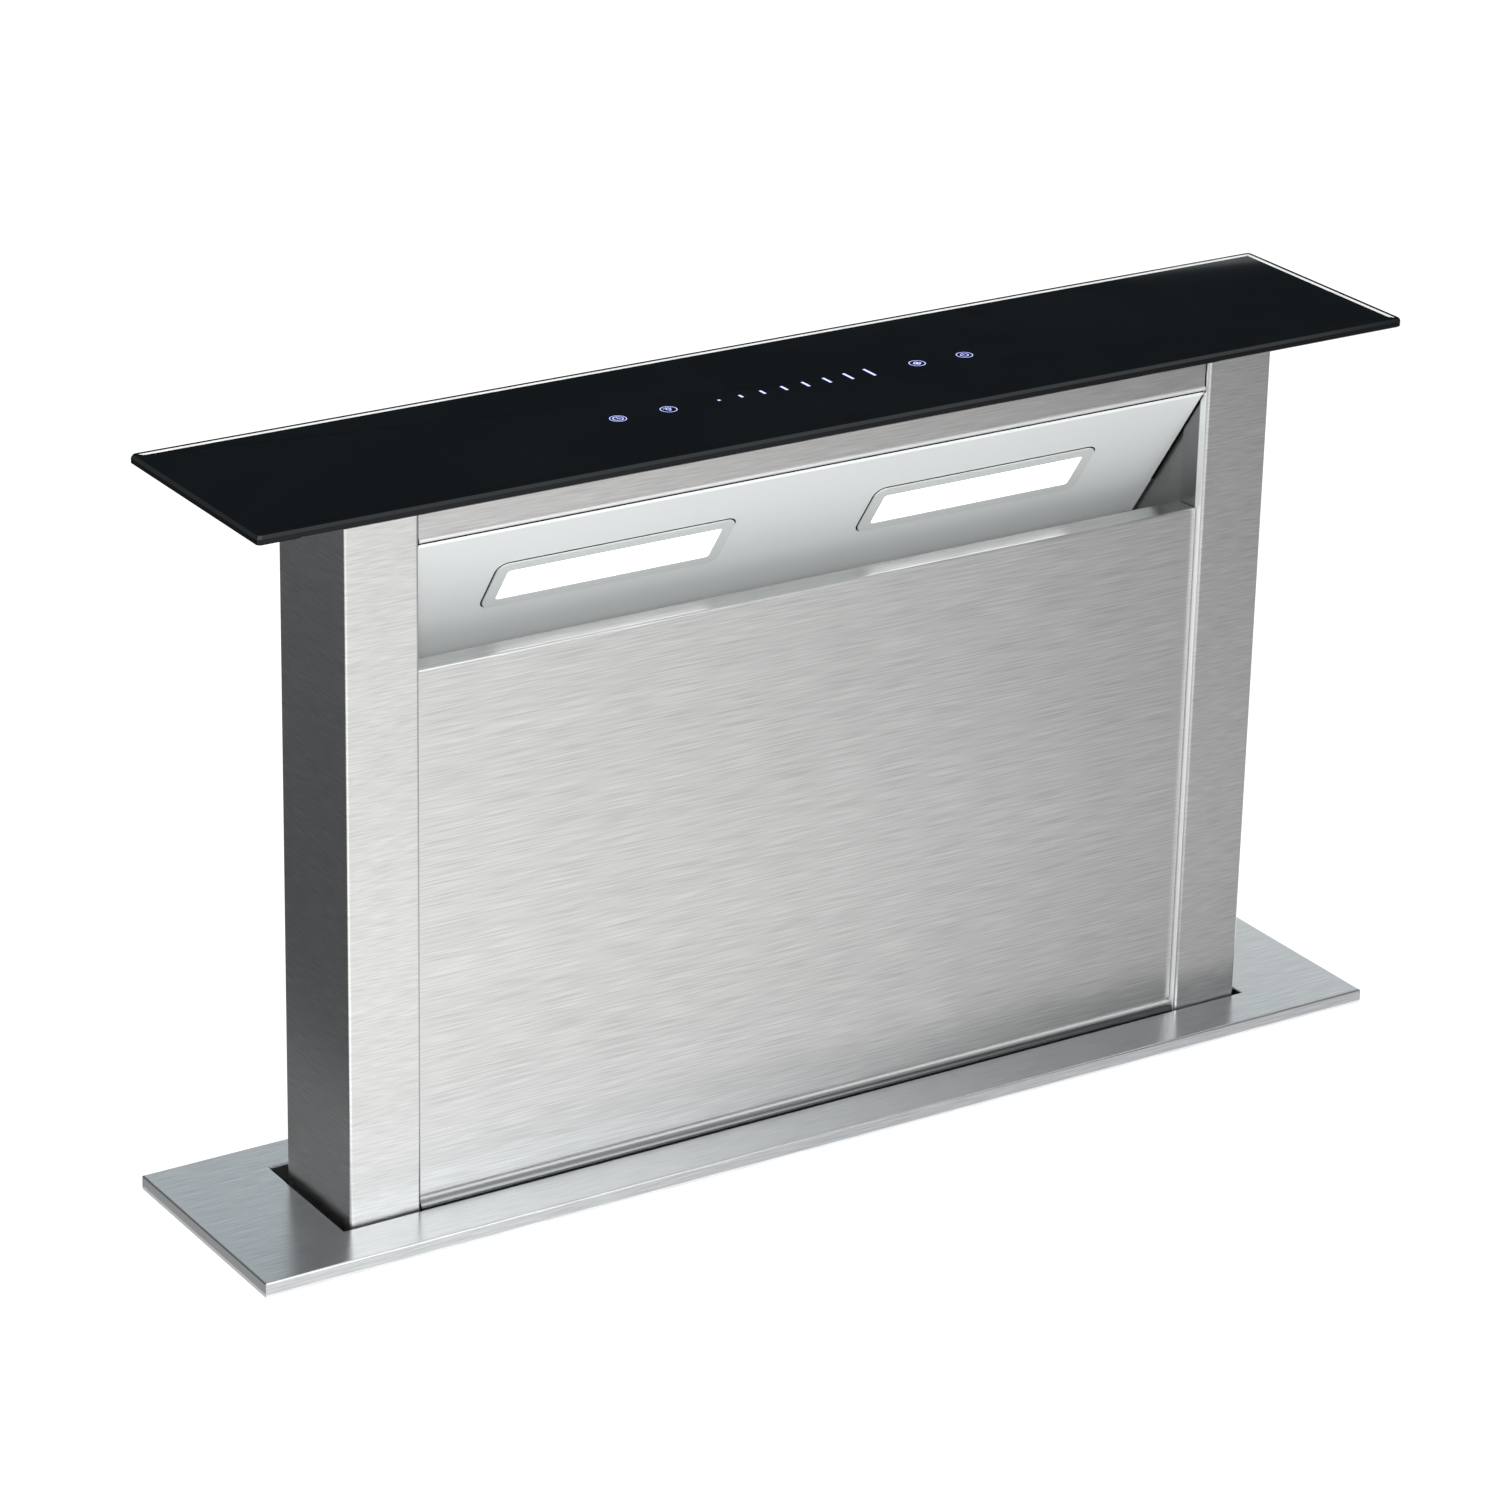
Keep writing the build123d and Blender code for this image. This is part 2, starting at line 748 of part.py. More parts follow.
with BuildPart() as filter_frames:
    for side in (-1, 1):
        with BuildSketch(lean_plane(side * filter_x, filter_up, carrier_face)):
            Rectangle(filter_width, filter_height)
            Rectangle(window_width, window_height, mode=Mode.SUBTRACT)
        extrude(amount=filter_thickness)
        with BuildSketch(lean_plane(side * filter_x, filter_up, mesh_face)):
            Rectangle(window_width + filter_rim, window_height + filter_rim)
        extrude(amount=mesh_thickness, mode=Mode.SUBTRACT)
    for face in filter_frames.faces().group_by(Axis((0, 0, 0), lean_out))[-1]:
        chamfer(face.outer_wire().edges(), 0.8)
write(filter_frames, "filter_frames")

with BuildPart() as filter_meshes:
    for side in (-1, 1):
        with BuildSketch(lean_plane(side * filter_x, filter_up, mesh_face)):
            Rectangle(window_width + filter_rim, window_height + filter_rim)
        extrude(amount=mesh_thickness)
write(filter_meshes, "filter_meshes")

latch_up = filter_up + (filter_height - filter_rim) / 2
latch_seat = carrier_face + filter_thickness
for side, name in ((-1, "left"), (1, "right")):
    with BuildPart() as filter_latch:
        with BuildSketch(lean_plane(side * filter_x, latch_up, latch_seat)):
            RectangleRounded(latch_length, latch_width, 1.5)
        extrude(amount=latch_height)
        with BuildSketch(lean_plane(side * filter_x, latch_up, latch_seat + latch_height)):
            Rectangle(latch_length - 8, 2)
        extrude(amount=-1, mode=Mode.SUBTRACT)
    write(filter_latch, f"{name}_filter_latch")

# ---- Magnet catches ----------------------------------------------------------------------
catch_front = cover_front + liner_sheet + 0.1
catch_back = catch_front + catch_depth
catch_inner = between_half - liner_sheet - cover_gap
catch_root = cover_front + cover_edge_fold + cover_gap
with BuildPart() as magnet_catches:
    for z in (catch_low, catch_high):
        low = z - catch_height / 2
        high = z + catch_height / 2
        add(box_at(-catch_inner, catch_length - catch_inner, catch_front, catch_back, low, high))
        add(box_at(-post_inner, -catch_inner, catch_root, catch_back, low, high))
    mirror(about=Plane.YZ)
write(magnet_catches, "magnet_catches")

# ---- Spindle lugs, nuts, bearings and spindles -------------------------------------------
lug_half = bearing_depth / 2
with BuildPart() as spindle_lugs:
    add(
        box_at(
            -column_half, -column_half - lug_reach, spindle_y - lug_half, spindle_y + lug_half,
            column_foot, column_foot + lug_height,
        )
    )
    fillet(spindle_lugs.edges().filter_by(Axis.Z).group_by(Axis.X)[0], 6)
    with Locations(Plane(origin=(-spindle_offset, spindle_y, column_foot + lug_height))):
        Hole(nut_radius, lug_height)
    mirror(about=Plane.YZ)
write(spindle_lugs, "spindle_lugs")

with BuildPart() as spindle_nuts:
    with Locations((-spindle_offset, spindle_y, column_foot)):
        Cylinder(nut_radius, lug_height, align=(Align.CENTER, Align.CENTER, Align.MIN))
    with Locations((-spindle_offset, spindle_y, column_foot + lug_height)):
        Cylinder(nut_flange, nut_flange_height, align=(Align.CENTER, Align.CENTER, Align.MIN))
    with Locations(Plane(origin=(-spindle_offset, spindle_y, column_foot + lug_height + nut_flange_height))):
        Hole(spindle_radius + shaft_gap, lug_height + nut_flange_height)
    mirror(about=Plane.YZ)
write(spindle_nuts, "spindle_nuts")

with BuildPart() as drive_beam:
    outline = [
        (beam_front, beam_top - beam_fold),
        (beam_front, beam_top),
        (beam_back, beam_top),
        (beam_back, beam_top - beam_fold),
    ]
    section = folded(Plane.YZ.offset(-shell_side), outline, beam_sheet, Side.RIGHT, beam_sheet + 1)
    extrude(section, amount=2 * shell_side)
    with Locations((-spindle_offset, spindle_y, beam_top), (spindle_offset, spindle_y, beam_top)):
        Hole(bush_radius, beam_sheet)
write(drive_beam, "drive_beam")

bush_top = beam_top + 2
with BuildPart() as spindle_bearings:
    add(
        box_at(
            -shell_side, -column_half - 2, spindle_y - lug_half, spindle_y + lug_half,
            bearing_top - bearing_height, bearing_top,
        )
    )
    with Locations((-spindle_offset, spindle_y, bush_top)):
        Cylinder(bush_radius, bush_top - spindle_foot, align=(Align.CENTER, Align.CENTER, Align.MAX))
        Cylinder(bush_rim, bush_top - beam_top, align=(Align.CENTER, Align.CENTER, Align.MAX))
    with Locations((-spindle_offset, spindle_y, bearing_top)):
        Hole(journal_radius + shaft_gap, bearing_top - spindle_foot)
    mirror(about=Plane.YZ)
write(spindle_bearings, "spindle_bearings")


def gear_section(plane, teeth, turn):
    """Involute gear: a root disc with one tooth copied round it."""
    pitch = gear_module * teeth / 2
    base = pitch * cos(radians(pressure_angle))
    tip = pitch + 0.95 * gear_module
    root = pitch - 1.3 * gear_module
    roll = tan(radians(pressure_angle)) - radians(pressure_angle)
    half_at_pitch = pi / (2 * teeth) - gear_backlash / (2 * pitch)

    def flank(radius):
        slope = acos(min(1.0, base / radius))
        turned = half_at_pitch + roll - (tan(slope) - slope)
        return (radius * cos(turned), radius * sin(turned))

    first = max(base, root) + 0.02
    low, middle, high = [flank(r) for r in (first, (first + tip) / 2, tip)]
    inner = (low[0] * root * 0.9 / first, low[1] * root * 0.9 / first)
    with BuildSketch(plane) as section:
        Circle(root)
        with PolarLocations(0, teeth, start_angle=turn):
            with BuildSketch(mode=Mode.PRIVATE) as tooth:
                with BuildLine():
                    Line(inner, low)
                    ThreePointArc(low, middle, high)
                    Line(high, (high[0], -high[1]))
                    ThreePointArc((high[0], -high[1]), (middle[0], -middle[1]), (low[0], -low[1]))
                    Line((low[0], -low[1]), (inner[0], -inner[1]))
                    Line((inner[0], -inner[1]), inner)
                make_face()
            add(tooth.sketch)
    return section.sketch


spindle_head = bearing_top + 1
thread_top = bearing_top - bearing_height - 1
thread_foot = bush_top + 1
pulley_foot = pulley_top - pulley_height
to_motor = degrees(atan2(motor_y - spindle_y, motor_x + spindle_offset))
for side, name in ((-1, "left"), (1, "right")):
    centre = (side * spindle_offset, spindle_y)
    shaft_foot = gear_foot if side < 0 else pulley_foot
    with BuildPart() as spindle:
        with Locations((*centre, spindle_head)):
            journal = spindle_head - shaft_foot
            Cylinder(journal_radius, journal, align=(Align.CENTER, Align.CENTER, Align.MAX))
        with Locations((*centre, thread_top)):
            Cylinder(spindle_radius, thread_top - thread_foot, align=(Align.CENTER, Align.CENTER, Align.MAX))
        chamfer(spindle.edges().filter_by(GeomType.CIRCLE).group_by(Axis.Z)[-1], 0.8)
    write(spindle, f"{name}_spindle")

    with BuildPart() as pulley:
        with Locations((*centre, pulley_foot)):
            Cylinder(pulley_radius, pulley_height, align=(Align.CENTER, Align.CENTER, Align.MIN))
            Cylinder(pulley_flange, 1, align=(Align.CENTER, Align.CENTER, Align.MIN))
        with Locations((*centre, pulley_top)):
            Hole(journal_radius, pulley_height)
    write(pulley, f"{name}_belt_pulley")

with BuildPart() as spindle_gear:
    plane = Plane(origin=(-spindle_offset, spindle_y, gear_foot))
    extrude(gear_section(plane, gear_teeth, to_motor), amount=gear_width)
    with Locations((-spindle_offset, spindle_y, gear_top)):
        Hole(journal_radius, gear_width)
write(spindle_gear, "spindle_gear")

with BuildPart() as motor_pinion:
    plane = Plane(origin=(motor_x, motor_y, gear_foot))
    extrude(gear_section(plane, pinion_teeth, to_motor + 180 + 180 / pinion_teeth), amount=gear_width)
    with Locations((motor_x, motor_y, gear_top)):
        Cylinder(motor_shaft, gear_top - motor_top + 16, align=(Align.CENTER, Align.CENTER, Align.MAX))
write(motor_pinion, "motor_pinion")

belt_inner = pulley_radius + shaft_gap
belt_outer = belt_inner + belt_thickness
belt_foot = (pulley_top + pulley_foot) / 2 - belt_width / 2
with BuildPart() as drive_belt:
    with BuildSketch(Plane.XY.offset(belt_foot)):
        with Locations((0, spindle_y)):
            SlotCenterToCenter(2 * spindle_offset, 2 * belt_outer)
            SlotCenterToCenter(2 * spindle_offset, 2 * belt_inner, mode=Mode.SUBTRACT)
    extrude(amount=belt_width)
write(drive_belt, "drive_belt")

bracket_front = motor_y - motor_radius - 3
bracket_back = spindle_y + belt_outer + 4
with BuildPart() as motor_bracket:
    outline = [
        (bracket_front, beam_top - beam_sheet),
        (bracket_front, motor_top),
        (bracket_back, motor_top),
        (bracket_back, beam_top - beam_sheet),
    ]
    left_end = -shell_side + 2
    section = folded(Plane.YZ.offset(left_end), outline, beam_sheet, Side.LEFT, beam_sheet + 1)
    extrude(section, amount=2 * motor_radius + 6)
    with Locations((motor_x, motor_y, motor_top + beam_sheet)):
        Hole(motor_shaft + 2, beam_sheet)
write(motor_bracket, "motor_bracket")

with BuildPart() as lift_motor:
    with Locations((motor_x, motor_y, motor_top)):
        Cylinder(motor_radius, gearbox_height, align=(Align.CENTER, Align.CENTER, Align.MAX))
    with Locations((motor_x, motor_y, motor_top - gearbox_height)):
        Cylinder(motor_radius - 1.5, motor_height, align=(Align.CENTER, Align.CENTER, Align.MAX))
    chamfer(lift_motor.edges().filter_by(GeomType.CIRCLE).group_by(Axis.Z)[0], 1.5)
    with Locations((motor_x, motor_y, motor_top)):
        Hole(motor_shaft + shaft_gap, 17)
write(lift_motor, "lift_motor")

with BuildPart() as end_switches:
    for foot in (rail_top - switch_inset, rail_top - rail_length + switch_inset - switch_height):
        side = rail_right + switch_gap
        add(box_at(side, side + switch_width, rail_front, shell_back, foot, foot + switch_height))
        lever = foot + (switch_height - switch_lever) / 2
        add(
            box_at(
                side, side + switch_width, rail_front - switch_throw, rail_front, lever,
                lever + switch_lever,
            )
        )
write(end_switches, "end_switches")

# ---- Blower ------------------------------------------------------------------------------
with BuildPart() as blower_casing:
    add(box_at(-blower_half, blower_half, blower_front + skin, plate_front, blower_foot, blower_top))
    add(
        box_at(
            -blower_half + skin, blower_half - skin, blower_front + skin, plate_front,
            blower_foot + skin, blower_top - skin,
        ),
        mode=Mode.SUBTRACT,
    )
    for side in (-1, 1):
        edge = side * blower_half
        tab = edge + side * blower_fold
        add(box_at(edge, tab, plate_front - skin, plate_front, blower_foot, blower_top))
    with Locations([Plane(origin=(x, plate_front - skin, z), z_dir=(0, -1, 0)) for x, z in blower_screws]):
        Hole(screw_radius + shaft_gap, skin)
    with Locations(Plane(origin=(blower_half, outlet_y, outlet_z), z_dir=(1, 0, 0))):
        Hole(duct_radius - duct_wall, skin)
write(blower_casing, "blower_casing")

with BuildPart() as blower_lid:
    add(box_at(-blower_half, blower_half, blower_front, blower_front + skin, blower_foot, blower_top))
    with BuildSketch(Plane.XZ.offset(-blower_front)):
        with Locations((0, (blower_foot + blower_top) / 2)):
            RectangleRounded(2 * blower_half - 2 * lid_margin, blower_height - 2 * lid_margin, lid_corner)
    extrude(amount=lid_raised, taper=30)
    with BuildSketch(Plane.XZ.offset(-blower_front - skin)):
        with Locations((0, (blower_foot + blower_top) / 2)):
            RectangleRounded(
                2 * (blower_half - lid_margin - skin), blower_height - 2 * (lid_margin + skin), lid_corner
            )
    extrude(amount=lid_raised, taper=30, mode=Mode.SUBTRACT)
    fold_half = blower_half - skin - fit_gap
    fold_low = blower_foot + skin + fit_gap
    fold_high = blower_top - skin - fit_gap
    add(box_at(-fold_half, fold_half, blower_front + skin, blower_front + 10, fold_low, fold_high))
    add(
        box_at(
            -fold_half + skin, fold_half - skin, blower_front + skin, blower_front + 10,
            fold_low + skin, fold_high - skin,
        ),
        mode=Mode.SUBTRACT,
    )
write(blower_lid, "blower_lid")


def scroll_outline(plane, inset):
    """The scroll's outline seen from the front: a spiral that opens into a straight outlet."""
    sweep = 300
    arcs = 6
    points = []
    for step in range(arcs + 1):
        angle = radians(-90 - sweep * (1 - step / arcs))
        spread = scroll_start - inset + scroll_growth * step / arcs
        points.append((spread * cos(angle), spread * sin(angle)))
    end = points[-1][1]
    right = blower_half - skin - fan_x
    throat = end + outlet_rise - 2 * inset
    with BuildSketch(plane) as section:
        with BuildLine():
            first = radians(-90 - sweep)
            spiral = TangentArc(points[0], points[1], tangent=(-sin(first), cos(first)))
            for start, stop in zip(points[1:-1], points[2:]):
                spiral = TangentArc(start, stop, tangent=spiral % 1)
            Line(points[-1], (right, end))
            Line((right, end), (right, throat))
            Line((right, throat), points[0])
        make_face()
    return section.sketch


scroll_plane = Plane(origin=(fan_x, scroll_front, fan_z), x_dir=(1, 0, 0), z_dir=(0, -1, 0))
with BuildPart() as fan_scroll:
    extrude(scroll_outline(scroll_plane, 0), amount=-scroll_depth)
    inner = scroll_outline(scroll_plane.offset(-scroll_wall), scroll_wall)
    extrude(inner, amount=-(scroll_depth - 2 * scroll_wall), mode=Mode.SUBTRACT)
    with BuildSketch(scroll_plane):
        Circle(hub_radius + 3)
    extrude(amount=-scroll_wall, mode=Mode.SUBTRACT)
    with BuildSketch(scroll_plane.offset(-scroll_depth)):
        Circle(inlet_radius + inlet_wall + fit_gap)
    extrude(amount=scroll_wall, mode=Mode.SUBTRACT)
write(fan_scroll, "fan_scroll")

with BuildPart() as inlet_ring:
    with BuildSketch(Plane(origin=(fan_x, plate_front, fan_z), x_dir=(1, 0, 0), z_dir=(0, 0, 1))):
        with BuildLine():
            Polyline(
                (inlet_radius + inlet_flare, 0),
                (inlet_rim, 0),
                (inlet_rim, -inlet_wall),
                (inlet_radius + inlet_wall, -inlet_flare),
                (inlet_radius + inlet_wall, -inlet_length),
                (inlet_radius, -inlet_length),
                (inlet_radius, -inlet_flare),
                (inlet_radius + inlet_flare, 0),
            )
        make_face()
    revolve(axis=Axis((fan_x, plate_front, fan_z), (0, 1, 0)))
write(inlet_ring, "inlet_ring")

# Impeller: plate and hub at the motor's side, a ring at the inlet, curved blades between
fan_plane = Plane(origin=(fan_x, fan_front, fan_z), x_dir=(1, 0, 0), z_dir=(0, -1, 0))
blade_tip = fan_radius - blade_rim_gap
blade_mid = (blade_tip + fan_eye) / 2
with BuildPart() as impeller:
    with BuildSketch(fan_plane):
        Circle(fan_radius)
    extrude(amount=-fan_plate)
    with BuildSketch(fan_plane.offset(-fan_plate)):
        Circle(hub_radius)
    extrude(amount=-hub_length)
    with BuildSketch(fan_plane.offset(-fan_width - fan_plate)):
        Circle(fan_radius)
        Circle(fan_eye + 6, mode=Mode.SUBTRACT)
    extrude(amount=-fan_plate)
    with BuildSketch(fan_plane.offset(-fan_plate)):
        with PolarLocations(0, fan_blades):
            with BuildSketch(mode=Mode.PRIVATE) as blade:
                with BuildLine():
                    tip = (blade_tip * cos(radians(blade_lean)), blade_tip * sin(radians(blade_lean)))
                    ThreePointArc((fan_eye, 0), (blade_mid + blade_belly, blade_belly), tip)
                    offset(amount=blade_sheet, side=Side.LEFT)
                make_face()
            add(blade.sketch)
    extrude(amount=-fan_width)
    shaft_start = (fan_x, fan_front + hub_length + fan_plate, fan_z)
    shaft_length = shaft_start[1] - scroll_front + mount_sheet + fan_motor_length - 8
    add(rod(shaft_start, (0, -1, 0), fan_shaft, shaft_length))
write(impeller, "impeller")

with BuildPart() as fan_motor_mount:
    with BuildSketch(scroll_plane):
        Circle(mount_radius)
        Circle(hub_radius + 3, mode=Mode.SUBTRACT)
    extrude(amount=mount_sheet)
write(fan_motor_mount, "fan_motor_mount")

with BuildPart() as fan_motor:
    with BuildSketch(scroll_plane.offset(mount_sheet)):
        Circle(fan_motor_radius)
    extrude(amount=fan_motor_length)
    chamfer(fan_motor.edges().sort_by(Axis.Y)[0], 5)
    with BuildSketch(scroll_plane.offset(mount_sheet)):
        Circle(fan_shaft + shaft_gap)
    extrude(amount=fan_motor_length - 7, mode=Mode.SUBTRACT)
write(fan_motor, "fan_motor")

# ---- Outlet spigot with its check flaps --------------------------------------------------
outlet_plane = Plane(origin=(blower_half, outlet_y, outlet_z), x_dir=(0, 1, 0), z_dir=(1, 0, 0))
with BuildPart() as outlet_spigot:
    with BuildSketch(outlet_plane):
        RectangleRounded(spigot_flange, spigot_flange, 8)
    extrude(amount=spigot_plate)
    with BuildSketch(outlet_plane):
        Circle(duct_radius)
    extrude(amount=spigot_plate + spigot_length)
    with BuildSketch(outlet_plane):
        Circle(duct_radius - duct_wall)
    extrude(amount=spigot_plate + spigot_length, mode=Mode.SUBTRACT)
    pin_foot = (flap_x, outlet_y, outlet_z - duct_radius)
    add(rod(pin_foot, (0, 0, 1), flap_pin_radius, 2 * duct_radius), mode=Mode.SUBTRACT)
write(outlet_spigot, "outlet_spigot")

with BuildPart() as flap_pin:
    add(rod(pin_foot, (0, 0, 1), flap_pin_radius, 2 * duct_radius))
write(flap_pin, "flap_pin")

with BuildPart() as flap_spring:
    foot = (flap_x, outlet_y, outlet_z + (flap_knuckle_step - flap_spring_length + flap_wire) / 2)
    with BuildLine() as coil:
        Helix(flap_spring_pitch, flap_spring_length - flap_wire, flap_spring_radius, center=foot)
    with BuildSketch(Plane(origin=coil.line @ 0, z_dir=coil.line % 0)):
        Rectangle(flap_wire, flap_wire)
    sweep(path=coil.line, is_frenet=True)
write(flap_spring, "flap_spring")

flap_radius = duct_radius - duct_wall - flap_gap
flap_plane = Plane(origin=(flap_x, outlet_y, outlet_z), x_dir=(0, 1, 0), z_dir=(1, 0, 0))
for side, name in ((-1, "front"), (1, "rear")):
    knuckles = (-flap_knuckle_step, flap_knuckle_step) if side < 0 else (0,)
    with BuildPart() as flap:
        with BuildSketch(flap_plane.offset(-flap_sheet / 2)):
            Circle(flap_radius)
            with Locations((-side * flap_radius, 0)):
                Rectangle(2 * (flap_radius + flap_knuckle + fit_gap), 2 * flap_radius, mode=Mode.SUBTRACT)
        extrude(amount=flap_sheet)
        for z in knuckles:
            low = outlet_z + z - flap_knuckle_length / 2
            high = outlet_z + z + flap_knuckle_length / 2
            add(rod((flap_x, outlet_y, low), (0, 0, 1), flap_knuckle, flap_knuckle_length))
            add(
                box_at(
                    flap_x - flap_sheet / 2, flap_x + flap_sheet / 2, outlet_y,
                    outlet_y + side * (flap_knuckle + 4), low, high,
                )
            )
            add(
                rod(
                    (flap_x, outlet_y, low - 1), (0, 0, 1), flap_pin_radius + shaft_gap,
                    flap_knuckle_length + 2,
                ),
                mode=Mode.SUBTRACT,
            )
    write(flap, f"{name}_flap")

# ---- Electrics ---------------------------------------------------------------------------
control_front = plate_front - control_depth
gland_y = (plate_front + control_front) / 2
gland_z = control_top - gland_drop
with BuildPart() as control_box:
    add(
        box_at(
            control_left, control_right, control_front + control_wall, plate_front, control_foot,
            control_top,
        )
    )
    add(
        box_at(
            control_left + control_wall, control_right - control_wall, control_front + control_wall,
            plate_front - control_wall, control_foot + control_wall, control_top - control_wall,
        ),
        mode=Mode.SUBTRACT,
    )
write(control_box, "control_box")

with BuildPart() as control_lid:
    add(
        box_at(
            control_left, control_right, control_front, control_front + control_wall, control_foot,
            control_top,
        )
    )
    fillet(control_lid.edges().filter_by(Plane.XZ).group_by(Axis.Y)[0], 1)
write(control_lid, "control_lid")

board_back = plate_front - control_wall - control_board_gap
with BuildPart() as control_board:
    margin = control_wall + board_margin
    add(
        box_at(
            control_left + margin, control_right - margin, board_back - control_board_sheet, board_back,
            control_foot + margin, control_top - margin,
        )
    )
    with Locations(
        *[
            Location((x, board_back, z), (-90, 0, 0))
            for x in (control_left + margin + pillar_inset, control_right - margin - pillar_inset)
            for z in (control_foot + margin + pillar_inset, control_top - margin - pillar_inset)
        ]
    ):
        Cylinder(board_pillar, control_board_gap, align=(Align.CENTER, Align.CENTER, Align.MIN))
write(control_board, "control_board")

with BuildPart() as cable_gland:
    start = (control_left, gland_y, gland_z)
    add(rod(start, (-1, 0, 0), gland_radius, gland_length))
    chamfer(cable_gland.edges().filter_by(GeomType.CIRCLE).sort_by(Axis.X)[0], 2)
    mouth = (control_left - gland_length, gland_y, gland_z)
    add(rod(mouth, (1, 0, 0), gland_bore, gland_length - 2), mode=Mode.SUBTRACT)
write(cable_gland, "cable_gland")
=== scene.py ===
"""Looks, light and camera for a downdraft vent whose screen stands raised out of a worktop."""
import json
import logging
import math
from dataclasses import dataclass, field
from enum import Enum

import bpy
from mathutils import Matrix, Vector

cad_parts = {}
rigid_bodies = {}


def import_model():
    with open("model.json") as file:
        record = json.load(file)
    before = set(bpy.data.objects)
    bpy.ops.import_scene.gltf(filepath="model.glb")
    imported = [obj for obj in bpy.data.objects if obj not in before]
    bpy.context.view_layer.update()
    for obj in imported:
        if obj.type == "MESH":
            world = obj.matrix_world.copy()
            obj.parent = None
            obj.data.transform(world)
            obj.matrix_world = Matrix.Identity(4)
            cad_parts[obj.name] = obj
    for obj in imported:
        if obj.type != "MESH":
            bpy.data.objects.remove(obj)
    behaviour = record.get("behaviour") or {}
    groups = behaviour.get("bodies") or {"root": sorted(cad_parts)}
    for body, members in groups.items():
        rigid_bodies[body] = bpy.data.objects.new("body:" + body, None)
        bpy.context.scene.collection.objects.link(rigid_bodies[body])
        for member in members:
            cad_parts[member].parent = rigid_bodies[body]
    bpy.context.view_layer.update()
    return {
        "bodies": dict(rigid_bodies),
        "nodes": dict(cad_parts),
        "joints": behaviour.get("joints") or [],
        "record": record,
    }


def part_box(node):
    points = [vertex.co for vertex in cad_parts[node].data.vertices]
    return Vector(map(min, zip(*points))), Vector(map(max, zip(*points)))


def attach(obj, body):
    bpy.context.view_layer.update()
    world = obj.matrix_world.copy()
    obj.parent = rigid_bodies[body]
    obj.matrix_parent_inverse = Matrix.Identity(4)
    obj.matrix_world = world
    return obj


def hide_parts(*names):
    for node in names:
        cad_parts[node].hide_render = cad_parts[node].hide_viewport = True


LOG = logging.getLogger("downdraft_vent")
MM = 0.001
NOISE_RANGE = (0.3, 0.7)    # holds nearly all of a noise texture's values
LID_SKIN = 0.05             # millimetres from the CAD lid's top down to the dressed lid's

Colour = tuple[float, float, float]
Point = tuple[float, float, float]
Spot = tuple[float, float]
Face = tuple[int, ...]


class Grain(Enum):
    """The way the brushing runs over a sheet."""

    ALONG = "along"
    AROUND = "around"


class Wrap(Enum):
    """Axis that a brushed highlight turns about."""

    LENGTH = "X"
    UPRIGHT = "Z"


class LidFace(Enum):
    """The glass lid's kinds of face, numbered as its materials are."""

    PRINTED = 0
    ARRIS = 1
    PAINTED_GLINT = 2


class Sign(Enum):
    """The generic signs in the lid's round keys."""

    CLOCK = "clock"
    LAMP = "lamp"
    FAN = "fan"
    POWER = "power"


def shade(colour: Colour, factor: float) -> Colour:
    """A colour made darker or lighter, with no channel above 1."""
    return tuple(min(1.0, channel * factor) for channel in colour)


# ---- Node trees ----------------------------------------------------------------------------


